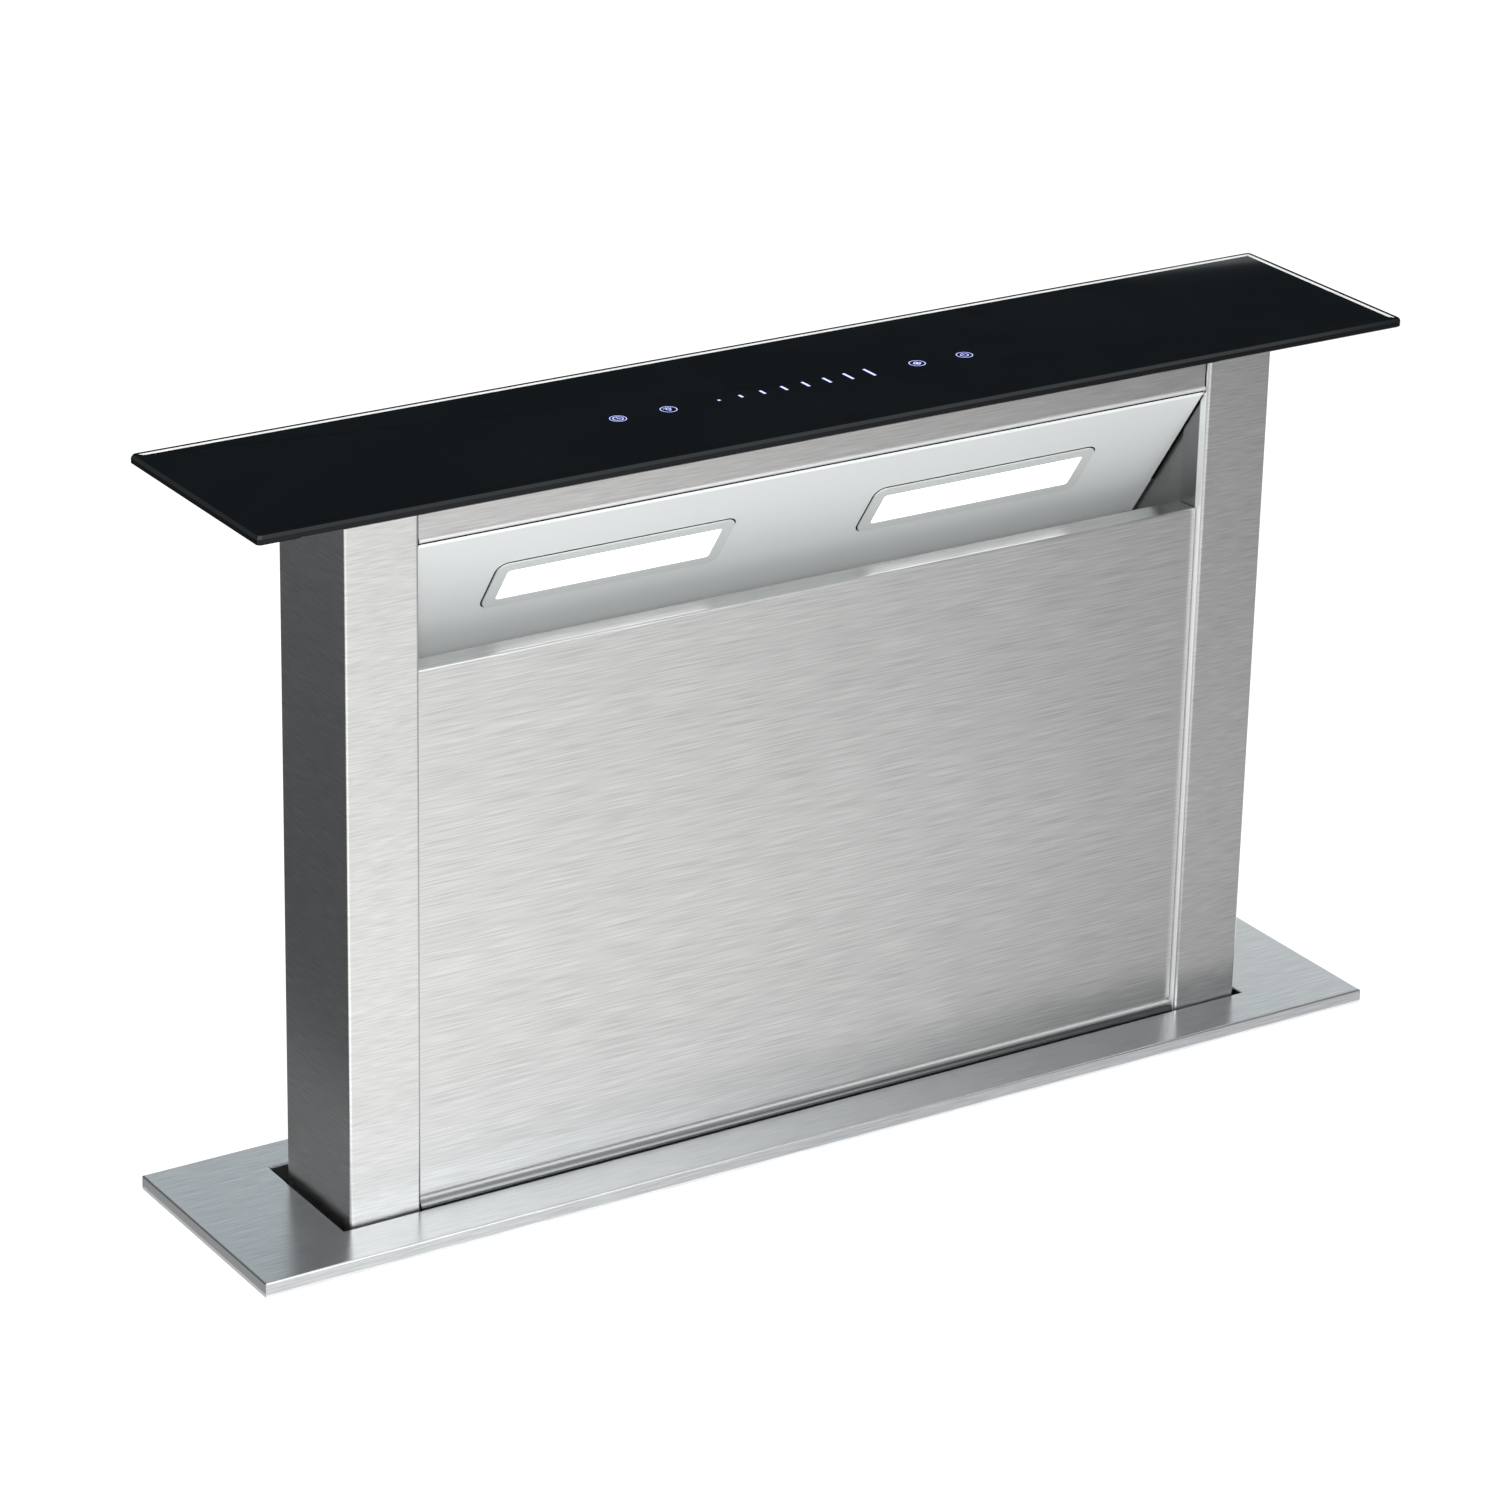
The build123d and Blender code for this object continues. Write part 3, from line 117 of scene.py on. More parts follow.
class NodeTree:
    """A thin hand on a node tree, for building it from plain calls."""

    def __init__(self, tree: bpy.types.NodeTree) -> None:
        """Take hold of a tree.

        Args:
            tree: The node tree to build in.
        """
        self.tree = tree

    def add(self, kind: str, **values: object) -> bpy.types.Node:
        """Add a node.

        Args:
            kind: Blender's name of the node's type.
            values: Attributes to set, or inputs when the name starts with "in_".

        Returns:
            The new node.
        """
        node = self.tree.nodes.new(kind)
        for name, value in values.items():
            if name.startswith("in_"):
                node.inputs[name[3:].replace("_", " ")].default_value = value
            else:
                setattr(node, name, value)
        return node

    def link(self, source: bpy.types.NodeSocket, target: bpy.types.NodeSocket) -> None:
        """Join two sockets."""
        self.tree.links.new(source, target)

    def coordinates(self, kind: str = "Object") -> bpy.types.NodeSocket:
        """One of the surface's texture coordinates."""
        return self.add("ShaderNodeTexCoord").outputs[kind]

    def axes(self, kind: str = "Object") -> dict[str, bpy.types.NodeSocket]:
        """Split one of the texture coordinates.

        Args:
            kind: Which of them.

        Returns:
            Its X, Y and Z.
        """
        node = self.add("ShaderNodeSeparateXYZ")
        self.link(self.coordinates(kind), node.inputs[0])
        return {axis: node.outputs[axis] for axis in "XYZ"}

    def math(self, operation: str, first: object, second: object = 0.0) -> bpy.types.NodeSocket:
        """Add a math node.

        Args:
            operation: The math node's operation.
            first: A socket or a number.
            second: A socket or a number.

        Returns:
            The result's socket.
        """
        node = self.add("ShaderNodeMath", operation=operation)
        for socket, value in zip(node.inputs, (first, second)):
            if isinstance(value, bpy.types.NodeSocket):
                self.link(value, socket)
            else:
                socket.default_value = value
        return node.outputs[0]

    def blend(self, first: bpy.types.NodeSocket, share: float,
              second: bpy.types.NodeSocket) -> bpy.types.NodeSocket:
        """Add two values by their shares.

        Args:
            first: The first value.
            share: The first value's share.
            second: The second value, which has the rest.

        Returns:
            The sum's socket.
        """
        return self.math("ADD", self.math("MULTIPLY", first, share),
                         self.math("MULTIPLY", second, 1.0 - share))

    def ramp(self, factor: bpy.types.NodeSocket, low: float, high: float,
             start: float, end: float, smooth: bool = False) -> bpy.types.NodeSocket:
        """Map a value from one range to another, kept inside the new range.

        Args:
            factor: The value's socket.
            low: Lower end of the value's range.
            high: Upper end of the value's range.
            start: What the lower end becomes.
            end: What the upper end becomes.
            smooth: Whether the value eases in and out.

        Returns:
            The mapped value's socket.
        """
        node = self.add("ShaderNodeMapRange", clamp=True, in_From_Min=low, in_From_Max=high,
                        in_To_Min=start, in_To_Max=end)
        if smooth:
            node.interpolation_type = "SMOOTHSTEP"
        self.link(factor, node.inputs["Value"])
        return node.outputs["Result"]

    def edge(self, place: bpy.types.NodeSocket, at: float, blur: float,
             rising: bool = True) -> bpy.types.NodeSocket:
        """Make a mask that changes at a place.

        Args:
            place: A coordinate's socket.
            at: Where the mask changes, in millimetres.
            blur: Half the width of the change, in millimetres.
            rising: Whether the mask is 1 beyond the place, or before it.

        Returns:
            The mask's socket.
        """
        start, end = (0.0, 1.0) if rising else (1.0, 0.0)
        return self.ramp(place, (at - blur) * MM, (at + blur) * MM, start, end)

    def mix(self, mask: bpy.types.NodeSocket, low: object, high: object) -> bpy.types.NodeSocket:
        """Mix two colours.

        Args:
            mask: What drives the mix.
            low: The colour where the mask is low, or its socket.
            high: The colour where the mask is high, or its socket.

        Returns:
            The mixed colour's socket.
        """
        node = self.add("ShaderNodeMix", data_type="RGBA", clamp_factor=True)
        self.link(mask, node.inputs[0])
        for socket, colour in ((node.inputs[6], low), (node.inputs[7], high)):
            if isinstance(colour, bpy.types.NodeSocket):
                self.link(colour, socket)
            else:
                socket.default_value = (*colour, 1.0)
        return node.outputs[2]

    def seen(self) -> bpy.types.NodeSocket:
        """1 where this is looked at, mirrored or seen through glass, and 0 where it only lights."""
        path = self.add("ShaderNodeLightPath")
        looked_at = self.math("MAXIMUM", path.outputs["Is Camera Ray"], path.outputs["Is Glossy Ray"])
        return self.math("MAXIMUM", looked_at, path.outputs["Is Transmission Ray"])


class GroupTree(NodeTree):
    """A new shader node group's tree, with its named sockets at hand."""

    def __init__(self, name: str, inputs: dict[str, float], outputs: tuple[str, ...]) -> None:
        """Start the group.

        Args:
            name: The group's name.
            inputs: Input names with their first values.
            outputs: Output names.
        """
        super().__init__(bpy.data.node_groups.new(name, "ShaderNodeTree"))
        sockets = self.tree.interface
        for label, value in inputs.items():
            socket = sockets.new_socket(name=label, in_out="INPUT", socket_type="NodeSocketFloat")
            socket.default_value = value
        for label in outputs:
            sockets.new_socket(name=label, in_out="OUTPUT", socket_type="NodeSocketFloat")
        self.given = self.add("NodeGroupInput").outputs
        self.out = self.add("NodeGroupOutput").inputs


# ---- Effects, each one shader node group ---------------------------------------------------


@dataclass(frozen=True)
class Effect:
    """A surface effect kept as one shader node group."""

    name: str

    def group(self) -> bpy.types.NodeTree:
        """Return the group, built the first time it is asked for."""
        known = bpy.data.node_groups.get(self.name)
        return known if known else self.build().tree

    def build(self) -> GroupTree:
        """Build the group; each effect has its own."""
        raise NotImplementedError


@dataclass(frozen=True)
class BrushLines(Effect):
    """Fine brushed lines that run along a sheet's length, or around it."""

    grain: Grain = Grain.ALONG
    line_detail: float = 1.0
    band_scale: float = 0.06
    band_detail: float = 2.0

    @classmethod
    def running(cls, grain: Grain) -> "BrushLines":
        """The lines of one grain, under their own name."""
        return cls(f"brush_lines_{grain.value}", grain)

    def build(self) -> GroupTree:
        """Build the lines from stretched noise.

        Returns:
            The filled group.
        """
        kit = GroupTree(self.name, {"Length": 60.0, "Width": 1300.0}, ("Lines", "Bands"))
        place = kit.axes()
        if self.grain is Grain.ALONG:
            run, across = place["X"], kit.math("ADD", place["Y"], place["Z"])
        else:
            run, across = kit.math("ADD", place["X"], place["Y"]), place["Z"]
        for label, scale, detail in (("Lines", 1.0, self.line_detail),
                                     ("Bands", self.band_scale, self.band_detail)):
            spot = kit.add("ShaderNodeCombineXYZ")
            for axis, way, size in (("X", run, "Length"), ("Y", across, "Width")):
                stretched = kit.math("MULTIPLY", way, kit.given[size])
                kit.link(kit.math("MULTIPLY", stretched, scale), spot.inputs[axis])
            noise = kit.add("ShaderNodeTexNoise", in_Scale=1.0, in_Detail=detail, in_Roughness=0.6)
            kit.link(spot.outputs[0], noise.inputs["Vector"])
            kit.link(noise.outputs["Fac"], kit.out[label])
        return kit


@dataclass(frozen=True)
class Smudges(Effect):
    """Broad soft patches, as handling and rolling leave them."""

    name: str = "smudges"

    def build(self) -> GroupTree:
        """Build the patches from slow noise.

        Returns:
            The filled group.
        """
        kit = GroupTree(self.name, {"Scale": 9.0}, ("Patches",))
        noise = kit.add("ShaderNodeTexNoise", in_Detail=3.0, in_Roughness=0.55, in_Distortion=0.6)
        kit.link(kit.coordinates(), noise.inputs["Vector"])
        kit.link(kit.given["Scale"], noise.inputs["Scale"])
        kit.link(kit.ramp(noise.outputs["Fac"], *NOISE_RANGE, 0.0, 1.0), kit.out["Patches"])
        return kit


@dataclass(frozen=True)
class Spangle(Effect):
    """The crystal pattern of a zinc coat."""

    name: str = "zinc_spangle"
    bend_scale: float = 60.0
    bend: float = 0.006

    def build(self) -> GroupTree:
        """Build the crystals from cells with bent edges.

        Returns:
            The filled group.
        """
        kit = GroupTree(self.name, {"Scale": 150.0}, ("Crystals", "Shade"))
        place = kit.coordinates()
        noise = kit.add("ShaderNodeTexNoise", in_Scale=self.bend_scale, in_Detail=2.0)
        kit.link(place, noise.inputs["Vector"])
        bent = kit.add("ShaderNodeVectorMath", operation="MULTIPLY_ADD")
        kit.link(noise.outputs["Color"], bent.inputs[0])
        bent.inputs[1].default_value = (self.bend, self.bend, self.bend)
        kit.link(place, bent.inputs[2])
        cells = kit.add("ShaderNodeTexVoronoi", feature="F1")
        kit.link(bent.outputs[0], cells.inputs["Vector"])
        kit.link(kit.given["Scale"], cells.inputs["Scale"])
        tone = kit.add("ShaderNodeSeparateColor")
        kit.link(cells.outputs["Color"], tone.inputs[0])
        kit.link(cells.outputs["Distance"], kit.out["Crystals"])
        kit.link(tone.outputs[0], kit.out["Shade"])
        return kit


@dataclass(frozen=True)
class FineGrain(Effect):
    """The even pimpled grain of moulded plastic, rubber or powder coat."""

    name: str = "fine_grain"
    tone_scale: float = 0.03

    def build(self) -> GroupTree:
        """Build the grain from fine noise.

        Returns:
            The filled group.
        """
        kit = GroupTree(self.name, {"Scale": 1500.0}, ("Grain", "Tone"))
        place = kit.coordinates()
        for label, scale in (("Grain", 1.0), ("Tone", self.tone_scale)):
            noise = kit.add("ShaderNodeTexNoise", in_Detail=2.0, in_Roughness=0.5)
            kit.link(place, noise.inputs["Vector"])
            kit.link(kit.math("MULTIPLY", kit.given["Scale"], scale), noise.inputs["Scale"])
            kit.link(noise.outputs["Fac"], kit.out[label])
        return kit


@dataclass(frozen=True)
class FacingMiddle(Effect):
    """Marks the faces that look towards the vent's middle."""

    name: str = "facing_middle"
    full: float = -0.9
    none: float = -0.5

    def build(self) -> GroupTree:
        """Build the mask from the side that a face is on and the way it looks.

        Returns:
            The filled group.
        """
        kit = GroupTree(self.name, {}, ("Mask",))
        toward = kit.math("MULTIPLY", kit.math("SIGN", kit.axes()["X"]), kit.axes("Normal")["X"])
        kit.link(kit.ramp(toward, self.full, self.none, 1.0, 0.0), kit.out["Mask"])
        return kit


# ---- Finishes ------------------------------------------------------------------------------


class Surface(NodeTree):
    """A new material's node tree, with its shader at hand."""

    def __init__(self, name: str, colour: Colour, **values: float) -> None:
        """Start the material.

        Args:
            name: The material's name.
            colour: Its base colour.
            values: The shader's other inputs, with "_" for a space.
        """
        self.material = bpy.data.materials.new(name)
        self.material.use_nodes = True
        super().__init__(self.material.node_tree)
        self.shader = self.tree.nodes["Principled BSDF"]
        self.set("Base Color", (*colour, 1.0))
        for socket, value in values.items():
            self.set(socket.replace("_", " "), value)

    def set(self, socket: str, value: object) -> None:
        """Set one of the shader's inputs to a value."""
        self.shader.inputs[socket].default_value = value

    def drive(self, socket: str, source: bpy.types.NodeSocket) -> None:
        """Drive one of the shader's inputs from another node."""
        self.link(source, self.shader.inputs[socket])

    def place(self, effect: Effect, **values: float) -> bpy.types.NodeOutputs:
        """Place an effect's group.

        Args:
            effect: The effect.
            values: The group's inputs.

        Returns:
            The group's outputs.
        """
        node = self.add("ShaderNodeGroup", node_tree=effect.group())
        for name, value in values.items():
            node.inputs[name].default_value = value
        return node.outputs

    def tint(self, colour: Colour, mask: bpy.types.NodeSocket, dark: float, light: float) -> None:
        """Let the base colour vary between two shades.

        Args:
            colour: The colour.
            mask: What drives the change.
            dark: Factor on the colour where the mask is low.
            light: Factor on the colour where the mask is high.
        """
        level = self.ramp(mask, *NOISE_RANGE, 0.0, 1.0)
        self.drive("Base Color", self.mix(level, shade(colour, dark), shade(colour, light)))

    def recolour(self, mask: bpy.types.NodeSocket, colour: Colour) -> None:
        """Lay a colour over the one that drives the base, where a mask is high."""
        below = self.shader.inputs["Base Color"].links[0].from_socket
        self.drive("Base Color", self.mix(mask, below, colour))

    def vary_roughness(self, middle: float, mask: bpy.types.NodeSocket, swing: float) -> None:
        """Let the roughness swing about a value.

        Args:
            middle: The value.
            mask: What drives the change.
            swing: The most that the roughness moves each way.
        """
        low, high = max(0.02, middle - swing), min(1.0, middle + swing)
        self.drive("Roughness", self.ramp(mask, *NOISE_RANGE, low, high))

    def emboss(self, height: bpy.types.NodeSocket, depth: float) -> None:
        """Raise the surface where a height is high.

        Args:
            height: The height's socket.
            depth: How far a height of 1 stands up, in metres.
        """
        bump = self.add("ShaderNodeBump", in_Strength=1.0, in_Distance=depth)
        self.link(height, bump.inputs["Height"])
        self.drive("Normal", bump.outputs[0])


@dataclass(frozen=True)
class Finish:
    """A surface finish: a colour, how it shines, and what varies over it."""

    name: str
    colour: Colour
    metallic: float = 0.0
    roughness: float = 0.4
    specular: float = 0.5
    coat: float = 0.0

    def material(self) -> bpy.types.Material:
        """Give the finish as a material, built the first time it is asked for.

        Returns:
            The material.
        """
        known = bpy.data.materials.get(self.name)
        if known:
            return known
        surface = Surface(self.name, self.colour, Metallic=self.metallic, Roughness=self.roughness,
                          Specular_IOR_Level=self.specular, Coat_Weight=self.coat)
        surface.material.diffuse_color = (*self.colour, 1.0)
        self.dress(surface)
        return surface.material

    def dress(self, surface: Surface) -> None:
        """Add what varies over the surface; each finish has its own."""
        raise NotImplementedError


@dataclass(frozen=True)
class BrushedSteel(Finish):
    """Stainless sheet brushed one way."""

    grain: Grain = Grain.ALONG
    wrap: Wrap = Wrap.LENGTH
    streak: float = 0.1
    stretch: float = 0.5
    line_depth: float = 0.000001
    line_length: float = 60.0
    line_width: float = 1300.0
    line_tone: float = 0.85
    line_shine: float = 0.8
    patch_scale: float = 7.0
    swing: float = 0.02

    def dress(self, surface: Surface) -> None:
        """Add the brushing, its drawn-out highlights and faint handling marks."""
        brushing = surface.place(BrushLines.running(self.grain), Length=self.line_length,
                                 Width=self.line_width)
        patches = surface.place(Smudges(), Scale=self.patch_scale)["Patches"]
        tone = surface.blend(brushing["Lines"], self.line_tone, brushing["Bands"])
        surface.tint(self.colour, tone, 1.0 - self.streak, 1.0 + self.streak)
        shine = surface.blend(brushing["Lines"], self.line_shine, patches)
        surface.vary_roughness(self.roughness, shine, self.swing)
        surface.emboss(brushing["Lines"], self.line_depth)
        surface.set("Anisotropic", self.stretch)
        surface.set("Anisotropic Rotation", 0.25 if self.wrap is Wrap.UPRIGHT else 0.0)
        tangent = surface.add("ShaderNodeTangent", direction_type="RADIAL", axis=self.wrap.value)
        surface.drive("Tangent", tangent.outputs[0])

    def paint_highlight(self, surface: Surface, mask: bpy.types.NodeSocket, pale: Colour, matt: float) -> None:
        """Paint a pale, matt highlight on the sheet where a mask is high.

        Args:
            surface: The finish's surface.
            mask: Where the highlight is painted.
            pale: The painted highlight's colour.
            matt: What the metallic value falls to under the painted highlight.
        """
        surface.recolour(mask, pale)
        surface.drive("Metallic", surface.ramp(mask, 0.0, 1.0, self.metallic, matt))


@dataclass(frozen=True)
class PostSteel(BrushedSteel):
    """Brushed post with painted shade on its inner faces, but for a painted highlight band along its
    folded return.
    """

    # Painted shade: the colour laid on the inner faces.
    painted_inner_shade: Colour = (0.26, 0.265, 0.265)
    # Painted highlight: the colour of the band along the folded return.
    pale: Colour = (0.86, 0.87, 0.87)
    matt: float = 0.4
    band: tuple[float, float] = (-31.15, -26.75)
    blur: float = 0.25

    def dress(self, surface: Surface) -> None:
        """Add the brushing, the painted shade on the inner faces and the painted highlight band."""
        super().dress(surface)
        inner = surface.place(FacingMiddle())["Mask"]
        # Painted shade on the faces that look towards the middle.
        surface.recolour(inner, self.painted_inner_shade)
        depth = surface.axes()["Y"]
        band = surface.math("MULTIPLY", surface.edge(depth, self.band[0], self.blur),
                            surface.edge(depth, self.band[1], self.blur, rising=False))
        # Painted highlight: a pale, matt band on the inner faces near the front.
        self.paint_highlight(surface, surface.math("MULTIPLY", inner, band), self.pale, self.matt)


@dataclass(frozen=True)
class RollSteel(BrushedSteel):
    """Rolled edge with a painted highlight on its crown; the dark flank below is painted shade."""

    # Painted highlight: the crown's colour.
    pale: Colour = (0.6, 0.6, 0.6)
    matt: float = 0.2
    crown: float = 9.7
    blur: float = 0.3

    def dress(self, surface: Surface) -> None:
        """Add the brushing, and the painted highlight on the crown."""
        super().dress(surface)
        self.paint_highlight(surface, surface.edge(surface.axes()["Z"], self.crown, self.blur), self.pale, self.matt)


@dataclass(frozen=True)
class TrimSteel(BrushedSteel):
    """Brushed trim, with painted shade on its turned-down ends."""

    end_shade: float = 0.48
    flat: float = 0.6
    upright: float = 0.9

    def dress(self, surface: Surface) -> None:
        """Add the brushing, and the painted shade on the ends."""
        super().dress(surface)
        sideways = surface.math("ABSOLUTE", surface.axes("Normal")["X"])
        ends = surface.ramp(sideways, self.flat, self.upright, 0.0, 1.0)
        # Painted shade: the end faces darkened.
        surface.recolour(ends, shade(self.colour, self.end_shade))


@dataclass(frozen=True)
class BlackGlass(Finish):
    """Polished glass printed black on its underside."""

    shades: tuple[float, float] = (0.92, 1.08)
    swing: float = 0.015
    patch_scale: float = 14.0

    def dress(self, surface: Surface) -> None:
        """Add the faint wipe marks of a polished sheet."""
        patches = surface.place(Smudges(), Scale=self.patch_scale)["Patches"]
        surface.vary_roughness(self.roughness, patches, self.swing)
        surface.tint(self.colour, patches, *self.shades)


@dataclass(frozen=True)
class SatinSheet(Finish):
    """Smooth satin sheet with a very faint rolled grain."""

    shades: tuple[float, float] = (0.965, 1.035)
    swing: float = 0.04
    depth: float = 0.000004
    patch_scale: float = 11.0
    line_length: float = 12.0
    line_width: float = 500.0

    def dress(self, surface: Surface) -> None:
        """Add the rolled grain and slow changes of shine."""
        rolling = surface.place(BrushLines.running(Grain.ALONG), Length=self.line_length,
                                Width=self.line_width)
        patches = surface.place(Smudges(), Scale=self.patch_scale)["Patches"]
        surface.tint(self.colour, rolling["Bands"], *self.shades)
        surface.vary_roughness(self.roughness, patches, self.swing)
        surface.emboss(rolling["Lines"], self.depth)


@dataclass(frozen=True)
class ZincSheet(Finish):
    """Zinc-coated sheet."""

    shades: tuple[float, float] = (0.93, 1.06)
    swing: float = 0.04
    depth: float = 0.00002
    scale: float = 190.0

    def dress(self, surface: Surface) -> None:
        """Add the crystals of the zinc and their change of shine."""
        cells = surface.place(Spangle(), Scale=self.scale)
        surface.tint(self.colour, cells["Shade"], *self.shades)
        surface.vary_roughness(self.roughness, cells["Shade"], self.swing)
        surface.emboss(cells["Crystals"], self.depth)


@dataclass(frozen=True)
class Grained(Finish):
    """Moulded plastic, rubber or powder coat, with a fine even grain."""

    shades: tuple[float, float] = (0.9, 1.1)
    swing: float = 0.05
    depth: float = 0.00004
    scale: float = 1500.0

    def dress(self, surface: Surface) -> None:
        """Add the grain and a slow change of tone."""
        grain = surface.place(FineGrain(), Scale=self.scale)
        surface.tint(self.colour, grain["Tone"], *self.shades)
        surface.vary_roughness(self.roughness, grain["Grain"], self.swing)
        surface.emboss(grain["Grain"], self.depth)


@dataclass(frozen=True)
class Turned(Finish):
    """Turned or ground metal, with fine marks round its axis."""

    shades: tuple[float, float] = (0.88, 1.08)
    swing: float = 0.06
    depth: float = 0.00001
    line_length: float = 30.0
    line_width: float = 2600.0

    def dress(self, surface: Surface) -> None:
        """Add the tool marks."""
        marks = surface.place(BrushLines.running(Grain.AROUND), Length=self.line_length,
                              Width=self.line_width)["Lines"]
        surface.tint(self.colour, marks, *self.shades)
        surface.vary_roughness(self.roughness, marks, self.swing)
        surface.emboss(marks, self.depth)


@dataclass(frozen=True)
class LitLens(Finish):
    """Frosted diffuser with the lamp behind it switched on."""

    glow: Colour = (1.0, 1.0, 1.0)
    strength: float = 1.12
    dim: float = 0.97
    depth: float = 0.00003
    scale: float = 2200.0

    def dress(self, surface: Surface) -> None:
        """Add the frosting and the light that comes through it."""
        frost = surface.place(FineGrain(), Scale=self.scale)
        surface.set("Emission Strength", self.strength)
        glow = surface.mix(frost["Tone"], shade(self.glow, self.dim), self.glow)
        surface.drive("Emission Color", glow)
        surface.emboss(frost["Grain"], self.depth)


FINISHES: dict[str, Finish] = {
    "panel": BrushedSteel("brushed_panel", (0.65, 0.65, 0.645), 1.0, 0.30, streak=0.15,
                          line_length=34.0),
    "header": BrushedSteel("brushed_header", (0.58, 0.575, 0.57), 1.0, 0.32, streak=0.13,
                           line_length=50.0, line_width=1200.0),
    "trim": TrimSteel("brushed_trim", (0.66, 0.675, 0.685), 1.0, 0.24, line_length=50.0,
                      line_width=1200.0),
    "post": PostSteel("brushed_post", (0.66, 0.66, 0.655), 1.0, 0.30, streak=0.12,
                      grain=Grain.AROUND, wrap=Wrap.UPRIGHT, line_length=75.0, line_width=1200.0),
    "liner": BrushedSteel("brushed_liner", (0.28, 0.285, 0.285), 0.88, 0.36, grain=Grain.AROUND,
                          wrap=Wrap.UPRIGHT, line_length=140.0, line_width=1500.0),
    # The rail's dark colour is painted shade, for the dark slot that its flank faces; its crown gets a
    # painted highlight.
    "rail": RollSteel("brushed_rail", (0.24, 0.25, 0.255), 1.0, 0.2, streak=0.05),
    "glass": BlackGlass("printed_black_glass", (0.0035, 0.0045, 0.0055), 0.0, 0.05, specular=0.2),
    "baffle": SatinSheet("satin_baffle", (0.70, 0.73, 0.73), 0.0, 0.42),
    "lip": SatinSheet("satin_lip", (0.64, 0.64, 0.64), 0.3, 0.35),
    "bezel": SatinSheet("satin_bezel", (0.62, 0.65, 0.65), 0.0, 0.36),
    "lens": LitLens("lit_lens", (0.95, 0.95, 0.95), 0.0, 0.5),
    "marks": LitLens("lit_marks", (0.3, 0.32, 0.5), 0.0, 0.5, glow=(0.60, 0.68, 1.0), strength=1.0),
    "halo": LitLens("lit_halo", (0.01, 0.015, 0.06), 0.0, 0.5, glow=(0.04, 0.07, 0.62), strength=1.0),
    "arris": BlackGlass("ground_arris", (0.003, 0.005, 0.006), 0.0, 0.12, specular=0.42),
    # Painted highlight: a pale band on the lid's back and right edges, standing for their glint.
    "painted_glint_rim": Grained("painted_edge_glint", (0.95, 0.96, 0.97), 0.0, 0.3, scale=3000.0, depth=0.00001),
    # Painted shadow: the flat black of the strips laid in and beside the gaps.
    "gap": Grained("deep_shadow", (0.006, 0.006, 0.006), 0.0, 0.9, specular=0.0),
    "zinc": ZincSheet("zinc_sheet", (0.50, 0.51, 0.52), 1.0, 0.42),
    "enamel": Grained("grey_powder_coat", (0.16, 0.165, 0.17), 0.0, 0.45),
    "rubber": Grained("moulded_rubber", (0.02, 0.02, 0.02), 0.0, 0.75, scale=2500.0),
    "bright": Turned("ground_steel", (0.62, 0.62, 0.63), 1.0, 0.22),
    "black_plastic": Grained("moulded_black", (0.022, 0.022, 0.023), 0.0, 0.45),
    "white_plastic": Grained("moulded_white", (0.62, 0.61, 0.57), 0.0, 0.4),
    "brass": Turned("turned_brass", (0.72, 0.50, 0.22), 1.0, 0.28),
    "filter_rim": SatinSheet("rolled_aluminium", (0.62, 0.63, 0.64), 1.0, 0.35),
    "filter_wire": Turned("mesh_wire", (0.60, 0.61, 0.62), 1.0, 0.32),
    "fan": SatinSheet("pressed_aluminium", (0.58, 0.59, 0.60), 1.0, 0.38),
    "board": Grained("printed_board", (0.02, 0.10, 0.045), 0.0, 0.35, coat=0.4),
}

# The CAD nodes that each finish dresses. A node that isn't named here is zinc-coated sheet.
DRESSED: dict[str, tuple[str, ...]] = {
    "panel": ("front_cover",),
    "header": ("header_rail",),
    "trim": ("worktop_trim",),
    "post": ("left_post", "right_post"),
    "liner": ("post_liners",),
    "rail": ("lower_rail",),
    "glass": ("glass_lid",),
    "baffle": ("baffle",),
    "bezel": ("lamp_bezels",),
    "lens": ("lamp_lenses",),
    "board": ("lamp_boards", "touch_board", "control_board"),
    "rubber": ("trim_seals", "drive_belt"),
    "enamel": ("blower_casing", "blower_lid", "outlet_spigot", "fan_motor", "lift_motor"),
    "bright": ("left_spindle", "right_spindle", "housing_fasteners", "flap_pin", "flap_spring",
               "motor_pinion"),
    "black_plastic": ("fan_scroll", "control_box", "control_lid", "cable_gland", "end_switches",
                      "magnet_catches", "left_filter_latch", "right_filter_latch"),
    "white_plastic": ("slide_shoes", "spindle_bearings", "spindle_gear", "left_belt_pulley",
                      "right_belt_pulley"),
    "brass": ("spindle_nuts",),
    "filter_rim": ("filter_frames",),
    "filter_wire": ("filter_meshes",),
    "fan": ("impeller", "front_flap", "rear_flap"),
}


# ---- Sub-assemblies ------------------------------------------------------------------------


def new_object(name: str, verts: list[Point], faces: list[Face],
               material: bpy.types.Material) -> bpy.types.Object:
    """Make a mesh object and put it in the scene.

    Args:
        name: The object's name.
        verts: Vertices in metres, in the row frame.
        faces: Faces as vertex numbers.
        material: Its material.

    Returns:
        The new object.
    """
    mesh = bpy.data.meshes.new(name)
    mesh.from_pydata(verts, [], faces)
    mesh.materials.append(material)
    thing = bpy.data.objects.new(name, mesh)
    bpy.context.collection.objects.link(thing)
    return thing


